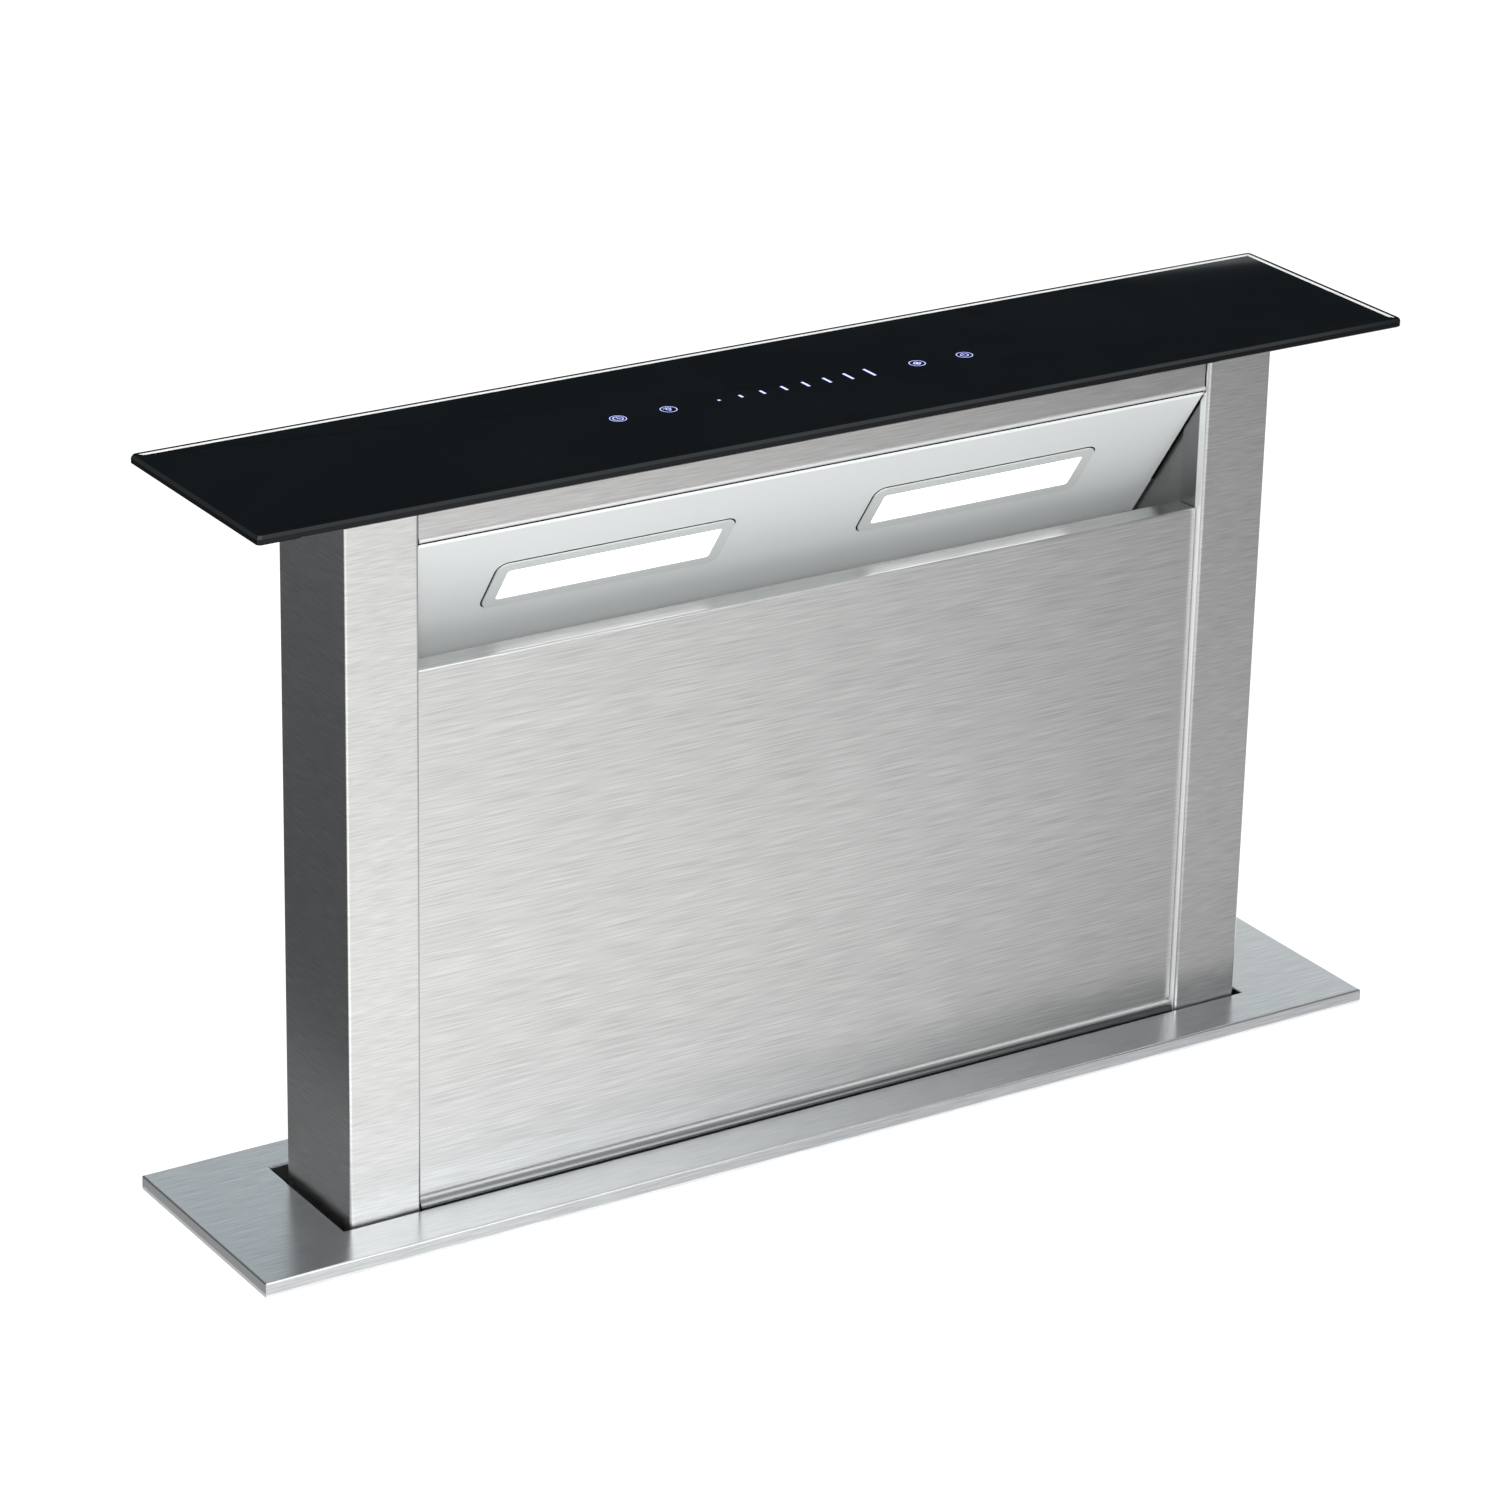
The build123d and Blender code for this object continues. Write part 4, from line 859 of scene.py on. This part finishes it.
def new_piece(name: str, verts: list[Point], faces: list[Face], finish: str,
              smooth: bool = False) -> bpy.types.Object:
    """Make a piece of the vent.

    Args:
        name: The piece's name.
        verts: Vertices in metres, in the row frame.
        faces: Faces as vertex numbers.
        finish: Key of the finish.
        smooth: Whether its faces shade smoothly.

    Returns:
        The new piece.
    """
    thing = new_object(name, verts, faces, FINISHES[finish].material())
    thing.data.validate()
    for polygon in thing.data.polygons:
        polygon.use_smooth = smooth
    LOG.info("made %s: %d faces", name, len(thing.data.polygons))
    return thing


@dataclass
class PackedNodes:
    """The CAD nodes, each given its finish."""

    frame: dict

    def dress(self) -> None:
        """Put each node's finish on it."""
        keys = {node: key for key, nodes in DRESSED.items() for node in nodes}
        for name, node in self.frame["nodes"].items():
            finish = FINISHES[keys.get(name, "zinc")].material()
            node.data.materials.clear()
            node.data.materials.append(finish)
            LOG.info("dressed %s with %s", name, finish.name)


@dataclass
class GlassLid:
    """The lid: one sheet of glass, printed black below, with ground arrises and round corners.

    Its front and left edges are chamfered, and its back and right edges have the arris alone, inside a
    pale band painted on as the glint along those edges.
    Sizes are in millimetres.
    """

    chamfer: float = 1.25
    arris: float = 0.4
    edge: float = 1.8
    # Width of the band that carries the painted highlight on the back and right edges.
    rim: float = 2.2
    lower: float = 0.5
    corner: float = 2.4
    steps: int = 5

    def outline(self, low: Point, high: Point, front_left: float, back_right: float) -> list[Spot]:
        """Find the sheet's outline, drawn in on two pairs of sides.

        Args:
            low: Lowest corner of the CAD lid, in metres.
            high: Highest corner of the CAD lid.
            front_left: How far the front and the left side are drawn in.
            back_right: How far the back and the right side are drawn in.

        Returns:
            The points in metres, anticlockwise from the front left.
        """
        x0, x1 = low[0] + front_left * MM, high[0] - back_right * MM
        y0, y1 = low[1] + front_left * MM, high[1] - back_right * MM
        radius = (self.corner - 0.5 * max(front_left, back_right)) * MM
        middles = ((x0 + radius, y0 + radius, 180.0), (x1 - radius, y0 + radius, 270.0),
                   (x1 - radius, y1 - radius, 0.0), (x0 + radius, y1 - radius, 90.0))
        points: list[Spot] = []
        for x, y, start in middles:
            for step in range(self.steps + 1):
                angle = math.radians(start + 90.0 * step / self.steps)
                points.append((x + radius * math.cos(angle), y + radius * math.sin(angle)))
        return points

    def build(self) -> None:
        """Build the sheet in place of its plain CAD node."""
        low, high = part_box("glass_lid")
        top, foot = high[2] - LID_SKIN * MM, low[2]
        printed = (self.chamfer + self.edge, self.arris + self.edge)
        rings = [
            (printed[0] + self.rim, printed[1] + self.rim, top),
            (*printed, top),
            (self.chamfer, self.arris, top),
            (self.chamfer - self.arris, 0.0, top - self.arris * MM),
            (0.0, 0.0, top - self.chamfer * MM),
            (0.0, 0.0, foot + self.lower * MM),
            (self.lower, self.lower, foot),
        ]
        verts: list[Point] = []
        for front_left, back_right, z in rings:
            verts += [(x, y, z) for x, y in self.outline(low, high, front_left, back_right)]
        count = len(verts) // len(rings)
        faces: list[Face] = [tuple(range(count)), tuple(reversed(range(len(verts) - count, len(verts))))]
        kinds = [LidFace.PRINTED, LidFace.PRINTED]
        per_corner, half = self.steps + 1, self.steps // 2
        back_and_right = range(per_corner + half, 3 * per_corner + half)
        glint_ring, ground_rings = 0, (2, 3)
        for ring in range(len(rings) - 1):
            outer = count * (ring + 1)
            for n in range(count):
                m = (n + 1) % count
                faces.append((outer + n, outer + m, outer - count + m, outer - count + n))
                # Painted highlight: the band's back and right sides take the pale glint finish.
                if ring == glint_ring and n in back_and_right:
                    kinds.append(LidFace.PAINTED_GLINT)
                else:
                    kinds.append(LidFace.ARRIS if ring in ground_rings else LidFace.PRINTED)
        lid = new_piece("lid_glass", verts, faces, "glass")
        for finish in ("arris", "painted_glint_rim"):
            lid.data.materials.append(FINISHES[finish].material())
        for polygon, kind in zip(lid.data.polygons, kinds):
            polygon.material_index = kind.value
        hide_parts("glass_lid")
        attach(lid, "screen")


@dataclass
class TouchMarks:
    """Lit marks on the lid's glass: four round keys and a slider of eight bars, in millimetres."""

    name: str
    finish: str
    lift: float
    grow: float = 0.0
    ring_radius: float = 3.9
    ring_line: float = 0.32
    sign_line: float = 0.42
    keys: tuple[tuple[Sign, float, float], ...] = (
        (Sign.CLOCK, -93.3, -3.1), (Sign.LAMP, -67.4, -3.2), (Sign.FAN, 64.4, -3.4),
        (Sign.POWER, 90.0, -3.9))
    bar_lengths: tuple[float, ...] = (1.3, 3.22, 4.62, 5.63, 6.48, 6.97, 8.43, 9.86)
    bar_first: float = -41.4
    bar_step: float = 11.4
    bar_y: float = -3.6
    bar_width: float = 1.25
    height: float = field(init=False)
    verts: list[Point] = field(default_factory=list, init=False)
    faces: list[Face] = field(default_factory=list, init=False)

    def __post_init__(self) -> None:
        """Find the marks' height from the lid's."""
        self.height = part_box("glass_lid")[1][2] + (self.lift - LID_SKIN) * MM

    def flat(self, outline: list[Spot]) -> None:
        """Add one flat closed outline."""
        start = len(self.verts)
        self.verts += [(x * MM, y * MM, self.height) for x, y in outline]
        self.faces.append(tuple(range(start, len(self.verts))))

    def band(self, x: float, y: float, radius: float, line: float, start: float = 0.0,
             end: float = 360.0, steps: int = 40) -> None:
        """Add an arc of a ring as a strip of quads.

        Args:
            x: Middle of the ring.
            y: Middle of the ring.
            radius: Its outer radius.
            line: Its line's width.
            start: Angle where the arc starts, in degrees.
            end: Angle where it ends.
            steps: How many quads it has.
        """
        outer, inner = radius + self.grow, max(0.0, radius - line - self.grow)
        for step in range(steps):
            low = math.radians(start + (end - start) * step / steps)
            high = math.radians(start + (end - start) * (step + 1) / steps)
            corners = ((inner, low), (outer, low), (outer, high), (inner, high))
            self.flat([(x + r * math.cos(a), y + r * math.sin(a)) for r, a in corners])

    def stroke(self, x0: float, y0: float, x1: float, y1: float, line: float) -> None:
        """Add a straight stroke.

        Args:
            x0: Where it starts.
            y0: Where it starts.
            x1: Where it ends.
            y1: Where it ends.
            line: Its width.
        """
        length = math.hypot(x1 - x0, y1 - y0)
        half = line / 2 + self.grow
        nx, ny = -(y1 - y0) / length * half, (x1 - x0) / length * half
        self.flat([(x0 + nx, y0 + ny), (x0 - nx, y0 - ny), (x1 - nx, y1 - ny), (x1 + nx, y1 + ny)])

    def sign(self, kind: Sign, x: float, y: float) -> None:
        """Draw the sign inside one round key.

        Args:
            kind: Which sign.
            x: Middle of the key.
            y: Middle of the key.
        """
        line = self.sign_line
        if kind is Sign.CLOCK:
            dial, long_hand, short_hand = 2.5, (0.0, 1.6), (1.1, -0.6)
            self.band(x, y, dial, line)
            for across, up in (long_hand, short_hand):
                self.stroke(x, y, x + across, y + up, line)
        elif kind is Sign.LAMP:
            bulb, rise, ray_start, ray_end, foot_half, foot = 1.3, 0.3, 1.7, 2.4, 0.6, -1.5
            self.band(x, y + rise, bulb, line)
            self.stroke(x - foot_half, y + foot, x + foot_half, y + foot, line)
            for turn in range(5):
                angle = math.radians(30 * turn + 30)
                start, end = ((x + r * math.cos(angle), y + rise + r * math.sin(angle))
                              for r in (ray_start, ray_end))
                self.stroke(*start, *end, line)
        elif kind is Sign.FAN:
            blade, out = 0.95, 1.1
            for turn in range(4):
                angle = math.radians(90 * turn)
                self.band(x + out * math.cos(angle), y + out * math.sin(angle), blade, line, steps=16)
        else:
            ring, bar_foot, bar_top = 2.0, 0.4, 2.5
            self.band(x, y, ring, line, 120.0, 420.0)
            self.stroke(x, y + bar_foot, x, y + bar_top, line)

    def build(self) -> None:
        """Build the marks, and let them ride with the lid."""
        for kind, x, y in self.keys:
            self.band(x, y, self.ring_radius, self.ring_line)
            self.sign(kind, x, y)
        for number, length in enumerate(self.bar_lengths):
            x = self.bar_first + self.bar_step * number
            self.stroke(x, self.bar_y - length / 2, x, self.bar_y + length / 2, self.bar_width)
        marks = new_piece(self.name, self.verts, self.faces, self.finish)
        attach(marks, "screen")


@dataclass
class ShadowGaps:
    """Painted shadow lines: flat black strips laid where the fine gaps round the header, baffle and
    lamps are in shade.

    The header's rolled bead goes with them. Sizes are in millimetres.
    """

    header_half: float = 208.4
    header_foot: float = 323.2
    header_line: float = 1.2
    header_y: float = -28.86
    end_gap_x: tuple[float, float] = (208.3, 209.1)
    end_gap_y: float = -30.1
    end_gap_z: tuple[float, float] = (322.0, 346.4)
    bead_half: float = 208.3
    bead_y: float = -29.9
    bead_radius: float = 1.1
    bead_steps: int = 8
    slope: float = 55.5
    slope_top: tuple[float, float] = (-28.8, 320.6)
    slope_length: float = 64.0
    # Painted shadow strips along the baffle's ends, lying just on its slope.
    shadow_line_x: tuple[float, float] = (208.0, 210.1)
    shadow_line_lift: float = 0.1
    lamp_x: float = 98.5
    lamp_along: float = 41.5
    bezel: tuple[float, float] = (122.0, 31.5)
    bezel_corner: float = 5.0
    bezel_line: float = 0.8
    bezel_lift: float = 0.06
    corner_steps: int = 6

    def on_slope(self, x: float, along: float, out: float) -> Point:
        """Find a point on the baffle's slope.

        Args:
            x: Place along the vent.
            along: Distance down the slope.
            out: Distance in front of the sheet.

        Returns:
            The point in metres.
        """
        turn = math.radians(self.slope)
        y = self.slope_top[0] + along * math.cos(turn) - out * math.sin(turn)
        z = self.slope_top[1] - along * math.sin(turn) - out * math.cos(turn)
        return (x * MM, y * MM, z * MM)

    def bezel_gap(self, middle: float) -> tuple[list[Point], list[Face]]:
        """Draw the painted shadow line round one lamp bezel.

        Args:
            middle: The bezel's middle along the vent.

        Returns:
            Its vertices and faces.
        """
        verts: list[Point] = []
        for grow in (0.0, self.bezel_line):
            radius = self.bezel_corner + grow
            cx, cy = self.bezel[0] / 2 + grow - radius, self.bezel[1] / 2 + grow - radius
            for x, y, start in ((cx, cy, 0), (-cx, cy, 90), (-cx, -cy, 180), (cx, -cy, 270)):
                for step in range(self.corner_steps + 1):
                    angle = math.radians(start + 90 * step / self.corner_steps)
                    verts.append(self.on_slope(middle + x + radius * math.cos(angle),
                                               self.lamp_along + y + radius * math.sin(angle),
                                               self.bezel_lift))
        count = len(verts) // 2
        return verts, [(n, (n + 1) % count, count + (n + 1) % count, count + n) for n in range(count)]

    def bead(self) -> None:
        """Build the rolled bead along the header's lower edge."""
        verts: list[Point] = []
        for x in (-self.bead_half, self.bead_half):
            for step in range(self.bead_steps + 1):
                angle = math.radians(90.0 + 180.0 * step / self.bead_steps)
                y = self.bead_y + self.bead_radius * math.cos(angle)
                z = self.header_foot + self.bead_radius * (1.0 + math.sin(angle))
                verts.append((x * MM, y * MM, z * MM))
        row = self.bead_steps + 1
        faces = [(n, n + 1, row + n + 1, row + n) for n in range(self.bead_steps)]
        bead = new_piece("header_bead", verts, faces, "lip", smooth=True)
        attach(bead, "screen")

    def build(self) -> None:
        """Build the bead and the painted shadow strips, all riding with the screen."""
        self.bead()
        x, y = self.header_half * MM, self.header_y * MM
        top, foot = self.header_foot * MM, (self.header_foot - self.header_line) * MM
        strip: list[Face] = [(0, 1, 3, 2)]
        # Painted shadow: a black strip under the header, in front of the baffle's top.
        gaps = [("header_gap", [(-x, y, foot), (x, y, foot), (x, y, top), (-x, y, top)], [(0, 1, 2, 3)])]
        for side, name in ((-1, "left"), (1, "right")):
            end_shadow = [self.on_slope(side * end, along, self.shadow_line_lift)
                    for along in (0.0, self.slope_length) for end in self.shadow_line_x]
            end_gap = [(side * at * MM, self.end_gap_y * MM, z * MM)
                       for z in self.end_gap_z for at in self.end_gap_x]
            gaps += [(f"{name}_baffle_shadow_line", end_shadow, strip),
                     (f"{name}_bezel_gap", *self.bezel_gap(side * self.lamp_x)),
                     (f"{name}_header_gap", end_gap, strip)]
        for name, verts, faces in gaps:
            piece = new_piece(name, verts, faces, "gap")
            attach(piece, "screen")


@dataclass
class ThreadedSpindle:
    """A lead screw with a rolled two-start thread between its journals, in millimetres."""

    side: float
    x: float = 258.0
    y: float = 14.0
    radius: float = 5.98
    root: float = 4.9
    journal: float = 5.0
    thread: tuple[float, float] = (-441.0, -41.0)
    lead: float = 8.0
    starts: int = 2
    crest: float = 0.12
    flank: float = 0.14
    foot_chamfer: tuple[float, float] = (0.4, 0.5)
    head_chamfer: float = 0.8
    steps: int = 28
    rise: float = 0.5

    def ridge(self, z: float, turn: float) -> float:
        """Radius of the thread at a height and an angle in turns."""
        phase = (z / self.lead - turn) * self.starts % 1.0
        slope = min(1.0, max(0.0, (abs(phase - 0.5) - self.crest) / self.flank))
        return self.radius - (self.radius - self.root) * slope

    def plain(self, z: float, radius: float) -> list[Spot]:
        """One round row of the screw, as heights and radii."""
        return [(z, radius)] * self.steps

    def rows(self, low: float, high: float) -> list[list[Spot]]:
        """List the screw's rows from its foot up.

        Args:
            low: Height of its foot.
            high: Height of its head.

        Returns:
            Each row as heights and radii.
        """
        start, end = self.thread
        count = int((end - start) / self.rise)
        heights = [start + (end - start) * n / count for n in range(count + 1)]
        inward, upward = self.foot_chamfer
        rows = [self.plain(low, self.journal - inward), self.plain(low + upward, self.journal),
                self.plain(start, self.journal)]
        rows += [[(z, self.ridge(z, n / self.steps)) for n in range(self.steps)] for z in heights]
        rows += [self.plain(end, self.journal), self.plain(high - self.head_chamfer, self.journal),
                 self.plain(high, self.journal - self.head_chamfer)]
        return rows

    def build(self, name: str, body: str) -> None:
        """Build the screw in place of its plain CAD bar.

        Args:
            name: The CAD node that it stands for.
            body: The body that it rides with.
        """
        rows = self.rows(*(corner[2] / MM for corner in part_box(name)))
        verts: list[Point] = []
        for row in rows:
            for n, (z, radius) in enumerate(row):
                angle = math.tau * n / self.steps
                verts.append(((self.side * self.x + radius * math.cos(angle)) * MM,
                              (self.y + radius * math.sin(angle)) * MM, z * MM))
        faces: list[Face] = []
        for level in range(len(rows) - 1):
            for n in range(self.steps):
                a, b = level * self.steps + n, level * self.steps + (n + 1) % self.steps
                faces.append((a, b, b + self.steps, a + self.steps))
        faces.append(tuple(reversed(range(self.steps))))
        faces.append(tuple(range(len(verts) - self.steps, len(verts))))
        screw = new_piece(f"{name}_threaded", verts, faces, "bright", smooth=True)
        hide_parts(name)
        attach(screw, body)


# ---- Stage, light and camera ---------------------------------------------------------------


@dataclass
class Stage:
    """White worktop slab with its cut-out, pale floor and white surroundings, in millimetres."""

    slab_x: tuple[float, float] = (-490.0, 460.0)
    slab_y: tuple[float, float] = (-490.0, 300.0)
    slab_thickness: float = 30.0
    slab_glow: float = 0.84
    cutout_x: tuple[float, float] = (-275.0, 275.0)
    cutout_y: tuple[float, float] = (-43.0, 47.0)
    floor_z: float = -701.0
    floor_half: float = 6000.0
    floor_glow: float = 0.88
    base: float = 0.42
    world_light: float = 0.6

    def white(self, name: str, glow: float) -> bpy.types.Material:
        """Make a white ground that keeps the object's shadow.

        Args:
            name: The material's name.
            glow: What is added where it is seen or reflected.

        Returns:
            The material.
        """
        surface = Surface(name, (self.base, self.base, self.base), Roughness=0.9, Specular_IOR_Level=0.0)
        surface.set("Emission Color", (1.0, 1.0, 1.0, 1.0))
        surface.drive("Emission Strength", surface.math("MULTIPLY", surface.seen(), glow))
        return surface.material

    @staticmethod
    def corners(along: tuple[float, float], back: tuple[float, float], z: float) -> list[Point]:
        """The corners of a level rectangle, in metres and anticlockwise."""
        places = ((0, 0), (1, 0), (1, 1), (0, 1))
        return [(along[i] * MM, back[j] * MM, z * MM) for i, j in places]

    def build(self) -> None:
        """Build the slab, the floor and the surroundings."""
        verts: list[Point] = []
        for z in (0.0, -self.slab_thickness):
            verts += self.corners(self.slab_x, self.slab_y, z)
            verts += self.corners(self.cutout_x, self.cutout_y, z)
        faces: list[Face] = []
        for n in range(4):
            m = (n + 1) % 4
            faces += [(n, m, 4 + m, 4 + n), (8 + m, 8 + n, 12 + n, 12 + m),
                      (m, n, 8 + n, 8 + m), (4 + n, 4 + m, 12 + m, 12 + n)]
        slab = new_object("worktop_slab", verts, faces, self.white("stage_white", self.slab_glow))
        reach = (-self.floor_half, self.floor_half)
        floor = new_object("studio_floor", self.corners(reach, reach, self.floor_z), [(0, 1, 2, 3)],
                           self.white("floor_white", self.floor_glow))
        self.surround()
        LOG.info("stage ready")

    def surround(self) -> None:
        """White surroundings: seen and reflected at 1, and a little lower as light."""
        world = bpy.data.worlds.new("studio")
        bpy.context.scene.world = world
        world.use_nodes = True
        kit = NodeTree(world.node_tree)
        back = world.node_tree.nodes["Background"]
        back.inputs["Color"].default_value = (1.0, 1.0, 1.0, 1.0)
        kit.link(kit.ramp(kit.seen(), 0.0, 1.0, self.world_light, 1.0), back.inputs["Strength"])


@dataclass(frozen=True)
class Swell:
    """A soft brighter band across a card: where it is, how far it reaches, and its gain."""

    middle: float
    reach: float
    gain: float


@dataclass(frozen=True)
class Card:
    """A flat reflection card, seen only in the object's shine. Places are in metres."""

    name: str
    corners: tuple[Point, ...]
    near: Colour
    far: Colour | None = None
    across: tuple[float, float] = (0.0, 1.0)
    heading: float = 0.0
    swell: Swell | None = None

    @staticmethod
    def lying(z: float, x0: float, x1: float, y0: float, y1: float) -> tuple[Point, ...]:
        """Corners of a level rectangle."""
        return ((x0, y0, z), (x1, y0, z), (x1, y1, z), (x0, y1, z))

    @staticmethod
    def skewed(z: float, *spots: Spot) -> tuple[Point, ...]:
        """Corners of a level card with sides at any angle."""
        return tuple((x, y, z) for x, y in spots)

    @staticmethod
    def hanging(start: Spot, end: Spot, foot: float, top: float) -> tuple[Point, ...]:
        """Corners of an upright rectangle."""
        return ((*start, foot), (*end, foot), (*end, top), (*start, top))

    def material(self) -> bpy.types.Material:
        """Make the card's shade, graded from near to far across its heading if it has both.

        Returns:
            The material.
        """
        surface = Surface(self.name, (0.0, 0.0, 0.0), Specular_IOR_Level=0.0, Emission_Strength=1.0)
        surface.set("Emission Color", (*self.near, 1.0))
        if self.far:
            place, turn = surface.axes(), math.radians(self.heading)
            run = surface.math("ADD", surface.math("MULTIPLY", place["X"], math.cos(turn)),
                               surface.math("MULTIPLY", place["Y"], math.sin(turn)))
            level = surface.ramp(run, *self.across, 0.0, 1.0)
            surface.drive("Emission Color", surface.mix(level, self.near, self.far))
        if self.swell:
            back = surface.math("SUBTRACT", surface.axes()["Y"], self.swell.middle)
            away = surface.math("ABSOLUTE", back)
            rise = surface.ramp(away, 0.0, self.swell.reach, 1.0 + self.swell.gain, 1.0, smooth=True)
            surface.drive("Emission Strength", rise)
        return surface.material

    def build(self) -> None:
        """Hang the card."""
        card = new_object(self.name, list(self.corners), [(0, 1, 2, 3)], self.material())
        for kind in ("camera", "diffuse", "transmission", "volume_scatter", "shadow"):
            setattr(card, f"visible_{kind}", False)
        LOG.info("card %s ready", self.name)


CARDS: tuple[Card, ...] = (
    # On the worktop in front: the cover mirrors its grade.
    Card("graded_card", Card.lying(0.0006, -0.6, 1.4, -1.4, -0.062), (1.04, 1.04, 1.03),
         (0.41, 0.41, 0.415), (-0.27, 0.21), 33.6, Swell(-0.26, 0.2, 0.24)),
    # Upright on the right: a dark for the front faces' right ends.
    Card("right_flag", Card.hanging((0.85, -1.05), (1.75, -0.1), -0.2, 1.6), (0.16, 0.16, 0.165)),
    # On the worktop to the left: the column's left side and the trim's left end mirror these.
    Card("side_mat", Card.lying(0.0006, -1.5, -0.3035, -0.12, 1.5), (0.078, 0.081, 0.086),
         (0.42, 0.43, 0.435), (-0.317, -0.306)),
    Card("back_mat", Card.lying(0.0006, -0.3035, -0.2, 0.0606, 0.4), (0.17, 0.174, 0.178)),
    Card("end_strip", Card.lying(0.0012, -0.316, -0.3025, -0.062, 0.07), (0.7, 0.71, 0.72)),
    # Out to the front left: the left post's bend mirrors it.
    Card("bend_glow", Card.skewed(0.0018, (-0.323, -0.05), (-0.293, -0.096), (-0.817, -0.791),
                                  (-1.17, -0.246)), (1.45, 1.45, 1.45)),
    # Just in front of the trim, whose turned-down front edge mirrors it.
    Card("edge_strip", Card.lying(0.0009, -0.32, 0.32, -0.075, -0.0606), (0.93, 0.93, 0.93),
         (0.66, 0.66, 0.67), (-0.2, 0.0)),
    # Upright behind: the column's left side mirrors the first, the trim and lid the others.
    Card("left_flag", Card.hanging((-1.9, 0.3), (-0.2, 1.4), -0.2, 2.4), (0.24, 0.25, 0.255)),
    Card("sky_card", Card.hanging((0.1, 2.1), (2.3, 0.9), 0.75, 2.0), (0.45, 0.50, 0.53),
         (0.55, 0.60, 0.61), (0.75, 1.15)),
    Card("lid_flag", ((-0.35, 0.42, 0.44), (1.1, -0.05, 0.37), (1.1, -0.05, 0.75), (-0.35, 0.42, 0.75)),
         (0.028, 0.038, 0.042)),
    # Upright in front: bright on the left, darker on the right, and dark low down.
    Card("front_card", Card.hanging((-1.5, -1.8), (3.0, -1.8), 0.45, 2.0), (2.4, 2.45, 2.48),
         (0.33, 0.33, 0.33), (0.90, 1.30)),
    Card("low_flag", Card.hanging((-1.5, -1.8), (3.0, -1.8), 0.02, 0.45), (0.10, 0.102, 0.105)),
    # At the column's foot: the foot of the cover and of the left post's bend mirror these.
    Card("foot_glow", Card.lying(0.0012, -0.45, 0.12, -0.11, -0.076), (1.3, 1.31, 1.33),
         (0.8, 0.8, 0.8), (-0.16, 0.08)),
    Card("corner_glow", Card.skewed(0.0015, (-0.342, -0.10), (-0.255, -0.15), (-0.64, -0.77),
                                    (-0.75, -0.71)), (2.4, 2.4, 2.4)),
)


@dataclass(frozen=True)
class Lamp:
    """A soft rectangular studio lamp. Places and sizes are in metres, and power is in watts."""

    name: str
    place: Point
    target: Point
    size: tuple[float, float]
    power: float
    in_shine: bool = True

    def build(self) -> None:
        """Hang the lamp."""
        data = bpy.data.lights.new(self.name, "AREA")
        data.shape = "RECTANGLE"
        data.size, data.size_y = self.size
        data.energy = self.power
        lamp = bpy.data.objects.new(self.name, data)
        lamp.location = self.place
        ahead = Vector(self.target) - Vector(self.place)
        lamp.rotation_euler = ahead.to_track_quat("-Z", "Y").to_euler()
        lamp.visible_glossy = self.in_shine
        bpy.context.collection.objects.link(lamp)
        LOG.info("lamp %s ready", self.name)


LAMPS: tuple[Lamp, ...] = (
    Lamp("tall_bank", (0.45, -2.4, 0.6), (0.0, 0.0, 0.1), (0.9, 2.0), 14.0),
    Lamp("overhead", (-0.3, -0.4, 2.6), (0.0, 0.0, 0.0), (2.2, 2.2), 16.0),
    Lamp("baffle_fill", (-0.62, -1.1, 0.8), (0.0, 0.0, 0.29), (0.5, 0.2), 16.0, in_shine=False),
)


@dataclass
class Viewpoint:
    """The camera at the photograph's place, in metres, degrees and millimetres of lens."""

    place: Point = (-1.254211, -1.912169, 1.124835)
    azimuth: float = 32.865
    elevation: float = 22.574
    roll: float = 1.244
    lens: float = 129.39
    sensor: float = 36.0
    reach: float = 50.0

    def build(self) -> None:
        """Set the camera from its measured place, heading and roll."""
        az, el, roll = (math.radians(value) for value in (self.azimuth, self.elevation, self.roll))
        ahead = Vector((math.sin(az) * math.cos(el), math.cos(az) * math.cos(el), -math.sin(el)))
        right = ahead.cross(Vector((0.0, 0.0, 1.0))).normalized()
        up = right.cross(ahead)
        tilted_right = math.cos(roll) * right + math.sin(roll) * up
        tilted_up = -math.sin(roll) * right + math.cos(roll) * up
        data = bpy.data.cameras.new("camera")
        data.lens, data.sensor_width, data.sensor_height = self.lens, self.sensor, self.sensor
        data.clip_end = self.reach
        camera = bpy.data.objects.new("camera", data)
        turn = Matrix((tilted_right, tilted_up, -ahead)).transposed().to_4x4()
        camera.matrix_world = Matrix.Translation(Vector(self.place)) @ turn
        bpy.context.collection.objects.link(camera)
        bpy.context.scene.camera = camera
        LOG.info("camera ready")


def main() -> None:
    """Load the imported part, dress it, and set the stage round it."""
    logging.basicConfig(level=logging.INFO, format="%(name)s: %(message)s")
    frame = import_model()
    PackedNodes(frame).dress()
    GlassLid().build()
    TouchMarks("touch_halo", "halo", 0.02, grow=0.14).build()
    TouchMarks("touch_marks", "marks", 0.04).build()
    ShadowGaps().build()
    ThreadedSpindle(-1.0).build("left_spindle", "left_screw")
    ThreadedSpindle(1.0).build("right_spindle", "right_screw")
    for part in (Stage(), *CARDS, *LAMPS, Viewpoint()):
        part.build()
    bpy.context.scene.view_settings.view_transform = "Standard"


if __name__ == "__main__":
    main()
